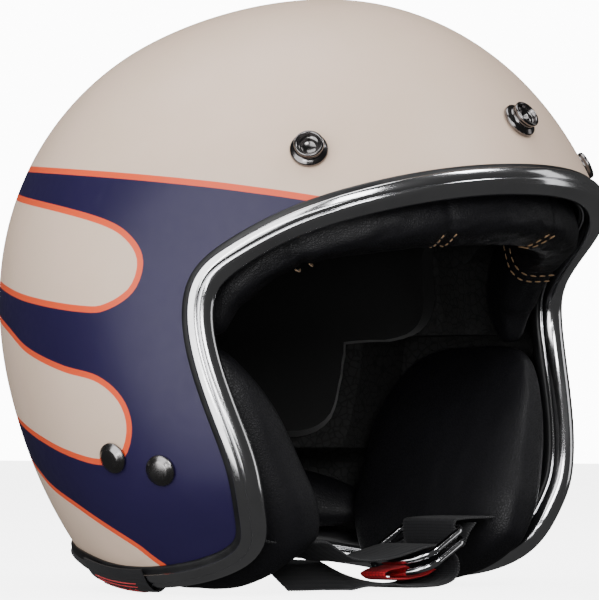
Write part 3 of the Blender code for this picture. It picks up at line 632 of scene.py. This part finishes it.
def build_studs(n, given):
    """One turned piece on every point, standing along its own facing."""
    facing = n.add("GeometryNodeInputNamedAttribute", {"Name": "facing"}, data_type="FLOAT_VECTOR").outputs[0]
    turned = n.add("FunctionNodeAlignRotationToVector", {"Vector": facing}, axis="Z").outputs[0]
    piece = n.add("GeometryNodeObjectInfo", {"Object": given["Piece"]}).outputs["Geometry"]
    return n.add("GeometryNodeInstanceOnPoints", {"Points": given["Geometry"], "Instance": piece,
                                                  "Rotation": turned}).outputs[0]


row_tree = geometry_tree("stitches_along_path", (("Pitch", FLOAT), ("Thickness", FLOAT), ("Reach", FLOAT),
                                                 ("Material", "NodeSocketMaterial")), build_row)
stud_tree = geometry_tree("studs_on_points", (("Piece", "NodeSocketObject"), ("Material", "NodeSocketMaterial")),
                          build_studs)


def grown(name, source, tree, **values):
    """The plain mesh that a tree makes on source, which is then removed."""
    modifier = source.modifiers.new("grow", "NODES")
    modifier.node_group = tree
    for item in tree.interface.items_tree:
        if item.item_type == "SOCKET" and item.in_out == "INPUT" and item.name in values:
            modifier[item.identifier] = values[item.name]
    bpy.context.scene.collection.objects.link(source)
    bpy.context.view_layer.update()
    mesh = bpy.data.meshes.new_from_object(source.evaluated_get(bpy.context.evaluated_depsgraph_get()))
    mesh.name = name
    bpy.data.objects.remove(source)
    obj = bpy.data.objects.new(name, mesh)
    bpy.context.scene.collection.objects.link(obj)
    return obj


def stitched(name, paths, material, pitch, thickness, reach):
    """Threads along paths: stitches of this half thickness and half length, one every pitch."""
    curve = bpy.data.curves.new(name + "_paths", "CURVE")
    curve.dimensions = "3D"
    for path in paths:
        spline = curve.splines.new("POLY")
        spline.points.add(len(path) - 1)
        spline.points.foreach_set("co", np.c_[path, np.ones(len(path))].ravel())
    source = bpy.data.objects.new(name + "_paths", curve)
    return grown(name, source, row_tree, Pitch=pitch, Thickness=thickness, Reach=reach, Material=material)


def studs(name, places, profile, material):
    """The same turned piece at every place, standing square to the surface."""
    points = onto_surface(np.array(places))
    facing = surface_normal(points)
    mesh = bpy.data.meshes.new(name + "_points")
    mesh.from_pydata([tuple(p) for p in points + facing * FIT_GAP], [], [])
    attribute = mesh.attributes.new("facing", "FLOAT_VECTOR", "POINT")
    attribute.data.foreach_set("vector", facing.astype(np.float32).ravel())
    source = bpy.data.objects.new(name + "_points", mesh)
    piece = made(name + "_piece", *lathe(profile), material)
    obj = grown(name, source, stud_tree, Piece=piece, Material=material)
    bpy.data.objects.remove(piece)
    obj.data.set_sharp_from_angle(angle=math.radians(50))
    return obj


# ------------------------------------------------------------------ shell and paint
def line_height(points, line):
    """How far above a left-to-right line each (y, z) is, measured square to the line."""
    curve = through(line, 12)[::-1]
    z = np.interp(points[:, 0], curve[:, 0], curve[:, 1])
    slope = np.interp(points[:, 0], curve[:, 0], np.gradient(curve[:, 1], curve[:, 0]))
    return (points[:, 1] - z) / np.sqrt(1 + slope ** 2)


def outline_depth(points, outline):
    """How deep inside a closed outline each (y, z) is; less than 0 outside."""
    curve = through(outline, 14)
    a, b = curve, np.roll(curve, -1, axis=0)
    nearest = np.full(len(points), 1e9)
    inside = np.zeros(len(points), bool)
    for p, q in zip(a, b):
        run = q - p
        t = np.clip(((points - p) @ run) / max(run @ run, 1e-12), 0, 1)
        nearest = np.minimum(nearest, np.linalg.norm(points - p - t[:, None] * run, axis=1))
        crosses = (p[1] > points[:, 1]) != (q[1] > points[:, 1])
        if q[1] != p[1]:
            inside ^= crosses & (points[:, 0] < (q[0] - p[0]) * (points[:, 1] - p[1]) / (q[1] - p[1]) + p[0])
    return np.where(inside, nearest, -nearest)


def past_border(flat):
    """The distance past the navy's border in the side view, in metres, for (y, z) in mm."""
    fields = (line_height(flat, TOP_LINE) / 1000 + STRIPE, -line_height(flat, LOW_LINE) / 1000,
              outline_depth(flat, UPPER_FINGER) / 1000, outline_depth(flat, LOWER_FINGER) / 1000)
    return np.stack(fields).max(0)


def past_navy(points):
    """The distance past the navy's border, along the surface, for points on the shell."""
    flat = points[:, 1:] * 1000
    field = past_border(flat)
    step = 0.4
    slopes = []
    for shift in ((step, 0), (0, step)):
        slopes.append((past_border(flat + np.array(shift)) - field) / (step / 1000))
    slope = np.stack((np.zeros(len(flat)), *slopes), -1)
    normal = surface_normal(points)
    slope -= normal * np.sum(slope * normal, -1)[:, None]
    return field / np.clip(np.linalg.norm(slope, axis=1), 0.35, 1.0)


def dome_rings(depth, turns, limit, rings):
    shares = np.linspace(0, 1, rings + 1)[1:]
    return np.stack([polar_point(turns, limit * share, np.full(len(turns), depth)) for share in shares])


def dome_solid(name, depth, wall, turns, limit, rings, material):
    """A closed cap of the surface between two depths, with a pole in the middle of each side."""
    outer, inner = dome_rings(depth, turns, limit, rings), dome_rings(depth + wall, turns, limit, rings)
    count = len(turns)
    pole = [polar_point(np.zeros(1), np.zeros(1), np.full(1, d))[0] for d in (depth, depth + wall)]
    points = np.vstack((pole, outer.reshape(-1, 3), inner.reshape(-1, 3)))
    first, second = 2, 2 + rings * count
    faces = grid_faces(rings, count, start=first) + grid_faces(rings, count, start=second)
    last_a, last_b = first + (rings - 1) * count, second + (rings - 1) * count
    for j in range(count):
        k = (j + 1) % count
        faces += [(0, first + k, first + j), (1, second + k, second + j),
                  (last_a + j, last_a + k, last_b + k, last_b + j)]
    return made(name, points, faces, material, sharp=50)


def make_shell():
    turns = even_turns(-90, 270, SHELL_TURNS, closed=True)
    shell = dome_solid("painted_shell", 0.0, SHELL_WALL, turns, edge_lean(turns), SHELL_RINGS, PAINT)
    points = np.array([v.co for v in shell.data.vertices])
    outside = egg_value(points) > 0.99
    distance = np.full(len(points), 0.02)
    distance[outside] = past_navy(points[outside])
    attribute = shell.data.attributes.new("past_navy", "FLOAT", "POINT")
    attribute.data.foreach_set("value", distance.astype(np.float32))
    shell.data.materials.append(INSIDE)
    for face in shell.data.polygons:
        face.material_index = 0 if all(outside[v] for v in face.vertices) else 1
    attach(shell, "helmet")
    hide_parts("shell")


# ------------------------------------------------------------------ edge trim
def swept(name, section, turns, material, closed=True, sharp=40):
    """A section in mm, (past the edge, out of the surface), swept along the cut edge."""
    point, past, out = edge_frame(turns)
    section = np.array(section) / 1000
    rings = (point[:, None] + past[:, None] * section[None, :, :1] + out[:, None] * section[None, :, 1:])
    return loft(name, rings, material, closed=closed, sharp=sharp)


def make_trim():
    turns = even_turns(-90, 270, TRIM_STATIONS, closed=True)
    band = [*through(BAND_SHOULDER, 4), *through(BAND_NOSE, 4),
            *through(BAND_ROLL[:5], 3), BAND_ROLL[5], (2.4, 1.9)]
    pieces = (("outer_lip", [*through(OUTER_LIP[:6], 4), OUTER_LIP[6]], RUBBER, "rubber", ("edge_channel",)),
              ("bright_band", band, CHROME, "bright_trim", ("edge_bead",)),
              ("inner_lip", [*through(INNER_LIP[:6], 4), INNER_LIP[6]], RUBBER, "rubber", ()))
    for name, section, material, slot, nodes in pieces:
        piece = swept(name, section, turns, material)
        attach(piece, "helmet")
        if nodes:
            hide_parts(*nodes)


def make_tag():
    """A woven tag folded over the trim, with plain stitched bars."""
    turns = even_turns(*TAG_TURN, 40)
    outer = through(TAG_FACE, 4)
    along = np.gradient(outer, axis=0)
    inward = unit(np.stack((along[:, 1], -along[:, 0]), -1))
    section = np.vstack((outer, (outer + inward * TAG_THICK)[::-1]))
    tag = swept("woven_tag", section, turns, TAG_CLOTH, closed=False, sharp=60)
    point, past, out = edge_frame(turns)
    run = evenly(point, len(turns))[1]
    share = np.linspace(0, run, len(turns))
    reach = np.concatenate(([0], np.cumsum(np.linalg.norm(np.diff(outer, axis=0), axis=1)))) / 1000
    reach = np.concatenate((reach, reach[::-1]))
    put_uv(tag, np.stack(np.broadcast_arrays(share[:, None], reach[None, :]), -1).reshape(-1, 2))
    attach(tag, "helmet")
    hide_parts("maker_tag")
    edge = evenly(outer, 200)[0]

    def on_tag(a, b):
        """A point of the tag's face: a along the trim and b across it, both 0 to 1."""
        i = np.clip(a * (len(turns) - 1), 0, len(turns) - 1)
        u, v = np.interp(b * 199, np.arange(200), edge[:, 0]), np.interp(b * 199, np.arange(200), edge[:, 1])
        p, q, r = (np.stack([np.interp(i, np.arange(len(turns)), c[:, k]) for k in range(3)], -1)
                   for c in (point, past, out))
        return p + q * (u / 1000)[:, None] + r * ((v + 0.12) / 1000)[:, None]
    bars = []
    for low, high, b in ((0.16, 0.84, 0.26), (0.16, 0.84, 0.33), (0.16, 0.84, 0.70), (0.16, 0.84, 0.76)):
        a = np.linspace(low, high, 60)
        bars.append(on_tag(a, np.full(60, b)))
    a = np.linspace(0.18, 0.82, 220)
    zigzag = 0.515 + 0.115 * (2 * np.abs(2 * ((a * 11) % 1) - 1) - 1)
    bars.append(on_tag(a, zigzag))
    thread = stitched("tag_stitches", bars, RED_THREAD, pitch=0.00062, thickness=0.00026, reach=0.00042)
    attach(thread, "helmet")


def make_fasteners():
    snaps = studs("snap_studs", SNAP_PLACES, SNAP_PROFILE, NICKEL)
    rivets = studs("strap_rivets", RIVET_PLACES, RIVET_PROFILE, RIVET_TOP)
    for piece, nodes in ((snaps, ["brow_snap_right", "brow_snap_center", "brow_snap_left"]),
                         (rivets, ["strap_rivet_front_right", "strap_rivet_rear_right",
                                   "strap_rivet_front_left", "strap_rivet_rear_left"])):
        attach(piece, "helmet")
        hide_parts(*nodes)


# ------------------------------------------------------------------ padding
def block_surface(na, nb, nc, power):
    """The skin of a block as a grid, its corners drawn in: points from -1 to 1, and faces."""
    index, points, faces = {}, [], []

    def at(i, j, k):
        if (i, j, k) not in index:
            index[i, j, k] = len(points)
            points.append((2 * i / na - 1, 2 * j / nb - 1, 2 * k / nc - 1))
        return index[i, j, k]
    for i in range(na):
        for j in range(nb):
            for k in (0, nc):
                faces.append((at(i, j, k), at(i + 1, j, k), at(i + 1, j + 1, k), at(i, j + 1, k)))
        for k in range(nc):
            for j in (0, nb):
                faces.append((at(i, j, k), at(i + 1, j, k), at(i + 1, j, k + 1), at(i, j, k + 1)))
    for j in range(nb):
        for k in range(nc):
            for i in (0, na):
                faces.append((at(i, j, k), at(i, j + 1, k), at(i, j + 1, k + 1), at(i, j, k + 1)))
    p = np.array(points)
    reach = (np.abs(p) ** power).sum(1) ** (1 / power)
    return p * (np.abs(p).max(1) / reach)[:, None], faces


def swell(obj, cap):
    """Blow the cover up a little over its foam, with no point moving more than cap."""
    before = [v.co.copy() for v in obj.data.vertices]
    settings = obj.modifiers.new("cover", "CLOTH").settings
    settings.use_pressure = True
    settings.uniform_pressure_force = 4.0
    settings.effector_weights.gravity = 0
    settings.quality = 5
    for number in range(1, 21):
        bpy.context.scene.frame_set(number)
    mesh = bpy.data.meshes.new_from_object(obj.evaluated_get(bpy.context.evaluated_depsgraph_get()))
    moved = [v.co.copy() for v in mesh.vertices]
    bpy.data.meshes.remove(mesh)
    obj.modifiers.clear()
    bpy.context.scene.frame_set(1)
    for vertex, start, end in zip(obj.data.vertices, before, moved):
        step = end - start
        if step.length > cap:
            step *= cap / step.length
        vertex.co = start + step
    obj.data.update()


def subdivided(obj, levels):
    modifier = obj.modifiers.new("round", "SUBSURF")
    modifier.levels = modifier.render_levels = levels
    mesh = bpy.data.meshes.new_from_object(obj.evaluated_get(bpy.context.evaluated_depsgraph_get()))
    obj.modifiers.clear()
    old = obj.data
    obj.data = mesh
    bpy.data.meshes.remove(old)
    obj.data.shade_smooth()


def reshape(obj, change):
    """Move every vertex along its normal by change(points, normals)."""
    count = len(obj.data.vertices)
    points, normals = np.zeros(count * 3), np.zeros(count * 3)
    obj.data.vertices.foreach_get("co", points)
    obj.data.vertices.foreach_get("normal", normals)
    points, normals = points.reshape(-1, 3), normals.reshape(-1, 3)
    points = points + normals * change(points, normals)[:, None]
    obj.data.vertices.foreach_set("co", points.astype(np.float32).ravel())
    obj.data.update()


def crumple(points, scale, stretch=(1, 1, 1), seed=0.0):
    """Smooth noise from -1 to 1 at every point, drawn out along the axes by stretch."""
    scaled = points * scale * np.array(stretch) + seed
    return np.array([noise.noise(Vector(p)) for p in scaled])


def brow_place(a, b, c):
    """The brow roll's own shape: along its length, along the surface, and inwards."""
    point, past, out = edge_frame(BROW_MIDDLE + BROW_REACH * a)
    taper = (1 - 0.12 * np.abs(a) ** 8)[:, None]
    b, c = b[:, None], c[:, None]
    return (point + past * (BROW_SET + BROW_HALF_HEIGHT * b * taper)
            - out * (BROW_DEPTH + BROW_HALF_DEPTH * c * taper))


def padded_piece(pad, node):
    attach(pad, "helmet")
    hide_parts(node)


def make_brow_pad():
    """The brow roll, drawn in at its seams, with a row of stitches on each side of every seam."""
    p, faces = block_surface(150, 26, 22, PAD_POWER)
    points = brow_place(p[:, 0], p[:, 1], p[:, 2])
    pad = made("brow_roll", points, faces, LEATHER)
    turn = BROW_MIDDLE + BROW_REACH * p[:, 0]
    gather = np.zeros(len(points))
    for seam in BROW_SEAMS:
        gather -= SEAM_DIP * np.exp(-((turn - seam) / SEAM_SPREAD) ** 2)
    wrinkles = crumple(np.c_[turn / 90, p[:, 1] * 0.12, p[:, 2] * 0.12], 26.0)
    near_trim = np.clip((p[:, 1] + 0.1) / 0.8, 0, 1)
    slow = crumple(points, 30.0, seed=3.1)
    change = gather + 0.00055 * wrinkles * near_trim + 0.0009 * slow
    reshape(pad, lambda points, normals: change)
    subdivided(pad, 1)
    padded_piece(pad, "brow_pad")
    angle = np.linspace(-0.15 * math.pi, 0.62 * math.pi, 60)
    b, c = np.sin(angle), np.cos(angle)
    reach = (np.abs(b) ** PAD_POWER + np.abs(c) ** PAD_POWER) ** (-1 / PAD_POWER)
    paths = []
    for seam in BROW_SEAMS:
        for shift in (-SEAM_HALF_GAP, SEAM_HALF_GAP):
            a = np.full(len(angle), (seam + shift - BROW_MIDDLE) / BROW_REACH)
            paths.append(brow_place(a, b * reach, c * reach))
    thread = stitched("brow_stitches", paths, GOLD_THREAD, pitch=0.0034, thickness=0.00032, reach=0.0013)
    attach(thread, "helmet")


def cheek_inner_x(z):
    """The face of a cheek pad that meets the cheek, leaning outwards above the jaw."""
    return 0.0515 + 0.034 * np.maximum(0.0, (z - 0.020) / 0.070) ** 1.5


def make_cheek_pad(side, word):
    def place_pad(a, b, c):
        share = (b + 1) / 2
        z = CHEEK_LOW + (CHEEK_TOP - CHEEK_LOW) * share
        front = CHEEK_FRONT + 0.0105 * np.clip((z - 0.0325) / 0.05, 0, 1)
        front = front + 0.018 * np.maximum(0.0, (0.0165 - z) / 0.0165) ** 1.3
        y = (front + CHEEK_REAR) / 2 + (CHEEK_REAR - front) / 2 * a
        outer = side_point(y, z, 0, side) - np.array((side * CHEEK_SET, 0, 0))
        inner = np.stack((side * cheek_inner_x(z), y, z + 0.0085 * (1 - share)), -1)
        t = ((c + 1) / 2)[:, None]
        return outer * (1 - t) + inner * t
    p, faces = block_surface(30, 30, 20, CHEEK_POWER)
    pad = made("cheek_cushion_" + word, place_pad(*p.T), faces, LEATHER)
    swell(pad, 0.0012)
    subdivided(pad, 1)
    reshape(pad, lambda points, normals: 0.0007 * crumple(points, 38.0, seed=side * 5.0)
            + 0.00025 * crumple(points, 130.0, (1, 1, 0.5), seed=side * 2.0))
    padded_piece(pad, "cheek_pad_" + word)


def make_neck_roll():
    def place_roll(a, b, c):
        point, past, out = edge_frame(-90 + NECK_REACH * a)
        return point - past * (0.0110 - 0.0150 * b)[:, None] - out * (0.0175 + 0.0085 * c)[:, None]
    p, faces = block_surface(80, 18, 16, PAD_POWER)
    roll = made("neck_cushion", place_roll(*p.T), faces, LEATHER)
    swell(roll, 0.0010)
    subdivided(roll, 1)
    reshape(roll, lambda points, normals: 0.0006 * crumple(points, 45.0, seed=9.0))
    padded_piece(roll, "neck_roll")


def make_crown_lining():
    """The comfort liner, which ends above the cheek pads and short of the cut edge elsewhere."""
    turns = np.linspace(-90, 270, LINING_TURNS, endpoint=False)
    limit = np.minimum(edge_lean(turns) - 24, LINING_MOST_LEAN)
    leans = np.linspace(10, LINING_MOST_LEAN, LINING_LEANS)
    grid = polar_point(turns[:, None] + 0 * leans, leans[None, :] + 0 * turns[:, None],
                       np.full((LINING_TURNS, LINING_LEANS), LINING_DEPTH + LINING_THICK + 0.0003))
    over_cheeks = (grid[..., 2] < LINING_LOW_Z) & (grid[..., 1] < LINING_REAR_Y)
    first = np.where(over_cheeks.any(1), leans[np.argmax(over_cheeks, 1)], 90.0)
    limit = np.minimum(limit, first)
    around = np.concatenate((limit[-4:], limit, limit[:4]))
    limit = np.minimum(limit, np.convolve(around, np.ones(9) / 9, "valid"))
    lining = dome_solid("crown_lining", LINING_DEPTH, LINING_THICK, turns, limit, LINING_RINGS, LINING)
    reshape(lining, lambda points, normals: 0.0005 * crumple(points, 30.0, seed=1.0))
    padded_piece(lining, "crown_pad")


# ------------------------------------------------------------------ chin strap
RIBS = 7


def web_section(width, thick, per_rib=6):
    """Half of the webbing's section: lengthwise ribs with thin edges, as (across, out)."""
    across = np.linspace(-0.5, 0.5, RIBS * per_rib + 1)
    ribs = np.abs(np.sin(across * RIBS * math.pi + RIBS * math.pi / 2)) ** 0.6
    edge = np.clip((0.5 - np.abs(across)) / 0.03, 0, 1) ** 0.5
    return across * width, (0.38 + 0.12 * ribs) * thick * edge


def webbing(name, route, across, thick, material, stations, width=WEB_WIDTH, ribs=True):
    """A flat woven band along a route, mapped in metres, and the lines of its two edges."""
    points, length = evenly(through(route, 16), stations)
    ahead = unit(np.gradient(points, axis=0))
    wide = np.array([across(p) for p in points])
    wide = unit(wide - ahead * np.sum(wide * ahead, 1)[:, None])
    thin = np.cross(ahead, wide)
    if ribs:
        u, v = web_section(width, thick)
    else:
        u = np.linspace(-0.5, 0.5, 13) * width
        v = np.full(13, 0.42 * thick) * np.clip((0.5 - np.abs(u / width)) / 0.02, 0, 1) ** 0.5
    section_u = np.concatenate((u, u[::-1][1:-1]))
    section_v = np.concatenate((v, -v[::-1][1:-1]))
    s = np.linspace(0, length, len(points))
    swell_along = 1.0 if ribs else 1 + 0.30 * np.abs(np.sin(s / 0.0011 * math.pi))[:, None, None]
    rings = (points[:, None] + wide[:, None] * section_u[None, :, None]
             + thin[:, None] * section_v[None, :, None] * swell_along)
    uv = np.stack(np.broadcast_arrays(s[:, None], section_u[None, :]), -1)
    obj = loft(name, rings, material, sharp=60, uv=uv)
    edges = [points + wide * (side * width * 0.497) for side in (-1, 1)]
    return obj, edges


def anchor_route(side, exit_z):
    """Sewn end, up and over the hanger's bar, down behind the pad and out through it."""
    y, bar_top = -0.01345, 0.03255
    hook = ((-0.0110, 0.0078), (-0.0035, 0.0067), (0.0010, 0.0070), (0.0029, 0.0089), (0.0017, 0.0111),
            (-0.0030, 0.0120), (-0.0090, 0.0128))
    route = [side_point(np.array(y), np.array(bar_top + up), depth, side) for up, depth in hook]
    route += [(side * 0.0755, -0.0218, 0.3 * exit_z + 0.0158), (side * 0.0700, -0.0320, 0.7 * exit_z + 0.0064),
              (side * 0.0650, STRAP_Y, exit_z), (side * EXIT_X, STRAP_Y, exit_z)]
    return np.array(route)


def strap_across(hook_end, twist=False):
    """Which way the webbing's width points: flat on the shell above, level below, tilted at a free end."""
    flat = unit(np.cross(surface_normal(hook_end), np.array((0, 0, 1.0))))
    level = np.array((0, math.copysign(1, flat[1]), 0))

    def across(p):
        share = min(1.0, max(0.0, (0.0905 - abs(p[0])) / 0.016))
        wide = flat * (1 - share) + level * share
        if twist and p[2] < 0.008:
            angle = math.radians(24) * max(0.0, min(1.0, (-0.003 - p[0]) / 0.018))
            wide = np.array((0, level[1] * math.cos(angle), level[1] * math.sin(angle)))
        return wide
    return across


def ring_loop_route():
    bar = (RING_BARS["outer"] + RING_BARS["inner"]) / 2
    loop = ((0.0007, 0.0053), (-0.0028, 0.0047), (-0.0035, 0.0018), (-0.0027, -0.0022), (-0.0008, -0.0048),
            (0.0022, -0.0047), (0.0040, -0.0020), (0.0062, 0.0008))
    route = [(0.0425, STRAP_Y, 0.0268), (0.0380, STRAP_Y, 0.0267)]
    route += [(bar.x + right, STRAP_Y, bar.z + up) for right, up in loop]
    return route + [(0.0425, STRAP_Y, 0.0246)]


def make_straps():
    for side, word, exit_z, tail, thick, nodes in (
            (-1, "long", EXIT_RIGHT_Z, LONG_ROUTE, WEB_THICK, ("strap_anchor_right", "strap_long")),
            (1, "short", EXIT_LEFT_Z, ring_loop_route(), SHORT_THICK, ("strap_anchor_left", "strap_short"))):
        hook = anchor_route(side, exit_z)
        route = np.vstack((hook, np.array(tail)))
        across = strap_across(hook[0], twist=side < 0)
        strap, edges = webbing(word + "_strap", route, across, thick, WEBBING, 420 if side < 0 else 280)
        loops = stitched(word + "_strap_edges", edges, BLACK_THREAD,
                         pitch=0.00115, thickness=0.00042, reach=0.00052)
        for piece in (strap, loops):
            start, end = (side * 0.0520, STRAP_Y, exit_z), (side * 0.0410, STRAP_Y, exit_z)
            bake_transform(piece)
            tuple(start)
            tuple(end)
        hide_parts(*nodes)


def ring_outline():
    """The wire's middle line in its own plane: a straight bar, two corners and a bow."""
    half, corner, points = (RING_INNER + RING_WIRE) / 2, 0.0045, []
    for side in (1, -1):
        stretch = [(-corner + corner * math.cos(a), side * (half - corner + corner * math.sin(a)))
                   for a in np.radians(np.linspace(0, 90, 14))]
        stretch += [(-RING_BOW - (RING_REACH - RING_BOW) * math.sin(a), side * half * math.cos(a))
                    for a in np.radians(np.linspace(0, 88, 26))]
        points += stretch if side == 1 else stretch[::-1]
    return np.array(points)


def make_rings():
    outline = ring_outline()
    sloped = np.array(Euler((0, -RING_SLOPE, 0)).to_matrix())
    up = sloped @ np.array((0, 0, 1.0))
    a = np.linspace(0, 2 * math.pi, 20, endpoint=False)
    for word, bar in RING_BARS.items():
        centre = np.c_[outline, np.zeros(len(outline))] @ sloped.T + np.array(bar)
        ahead = unit(np.roll(centre, -1, 0) - np.roll(centre, 1, 0))
        out = np.cross(ahead, up)
        rings = centre[:, None] + RING_WIRE / 2 * (out[:, None] * np.cos(a)[None, :, None]
                                                   + up[None, None] * np.sin(a)[None, :, None])
        ring = loft(word + "_ring", rings, RING_STEEL, closed=True)
        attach(ring, word + "_ring")
        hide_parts("d_ring_" + word)


def make_pull_tab():
    bar = RING_BARS["outer"]
    tip = np.array(bar) - np.array((math.cos(RING_SLOPE), 0, math.sin(RING_SLOPE))) * RING_REACH
    fold = ((0.0036, 0.0004), (0.0028, 0.0021), (0.0006, 0.0025), (-0.0040, 0.0019), (-0.0090, 0.0014),
            (-0.0122, 0.0000), (-0.0092, -0.0018), (-0.0030, -0.0022), (0.0040, -0.0021), (0.0130, -0.0010),
            (0.0190, 0.0010))
    route = np.array([(tip[0] + right, STRAP_Y, tip[2] + up) for right, up in fold])
    tab, _ = webbing("red_tab", route, lambda p: np.array((0, 1.0, 0)), 0.0008, RED_RIBBON, 320,
                     width=0.0120, ribs=False)
    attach(tab, "outer_ring")
    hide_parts("pull_tab")


# ------------------------------------------------------------------ stage
def make_camera():
    camera = bpy.data.cameras.new("camera")
    camera.sensor_width = SENSOR_MM
    camera.lens = LENS_MM
    camera.clip_end = 50
    obj = bpy.data.objects.new("camera", camera)
    bpy.context.scene.collection.objects.link(obj)
    obj.location = CAMERA_PLACE
    obj.rotation_euler = CAMERA_LOOK.to_track_quat("-Z", "Y").to_euler()
    bpy.context.scene.camera = obj


def soft_light(name, place_at, size, power):
    light = bpy.data.lights.new(name, "AREA")
    light.shape = "RECTANGLE"
    light.size, light.size_y = size
    light.energy = power
    obj = bpy.data.objects.new(name, light)
    bpy.context.scene.collection.objects.link(obj)
    obj.location = place_at
    obj.rotation_euler = (LIGHT_AIM - Vector(place_at)).to_track_quat("-Z", "Y").to_euler()


def make_stage():
    bm = bmesh.new()
    bmesh.ops.create_grid(bm, x_segments=1, y_segments=1, size=FLOOR_HALF_SIZE)
    mesh = bpy.data.meshes.new("floor")
    bm.to_mesh(mesh)
    bm.free()
    floor = bpy.data.objects.new("floor", mesh)
    floor.location.z = -FLOOR_GAP
    bpy.context.scene.collection.objects.link(floor)
    material, _, shader = finish("pale_floor", (0.9, 0.9, 0.9, 1), 0.9)
    shader.inputs["Emission Color"].default_value = (1, 1, 1, 1)
    shader.inputs["Emission Strength"].default_value = FLOOR_GLOW
    mesh.materials.append(material)
    floor.visible_glossy = False
    floor.visible_diffuse = False

    world = bpy.data.worlds.new("studio")
    bpy.context.scene.world = world
    world.use_nodes = True
    n = Nodes(world.node_tree)
    world.node_tree.nodes.clear()
    rays = n.add("ShaderNodeLightPath").outputs
    strength = n.math("ADD", n.math("MULTIPLY", rays["Is Camera Ray"], BACKDROP_LIGHT),
                      n.math("ADD", n.math("MULTIPLY", rays["Is Diffuse Ray"], FILL_LIGHT),
                             n.math("MULTIPLY", rays["Is Glossy Ray"], REFLECTED_LIGHT)))
    light = n.add("ShaderNodeBackground", {"Color": (1, 1, 1, 1), "Strength": strength})
    output = n.add("ShaderNodeOutputWorld")
    n.join(light.outputs[0], output.inputs["Surface"])

    for name, place_at, size, power in SOFTBOXES:
        soft_light(name, place_at, size, power)


# ------------------------------------------------------------------ assembly
def main():
    make_camera()
    make_stage()
    make_shell()
    make_trim()
    make_tag()
    make_fasteners()
    make_brow_pad()
    for side, word in ((-1, "right"), (1, "left")):
        make_cheek_pad(side, word)
    make_neck_roll()
    make_crown_lining()
    make_straps()
    make_rings()
    make_pull_tab()
    for name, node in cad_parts.items():
        if not node.hide_render:
            node.data.materials.clear()
            node.data.materials.append(INSIDE if name == "impact_liner" else PLAIN_STEEL)


main()
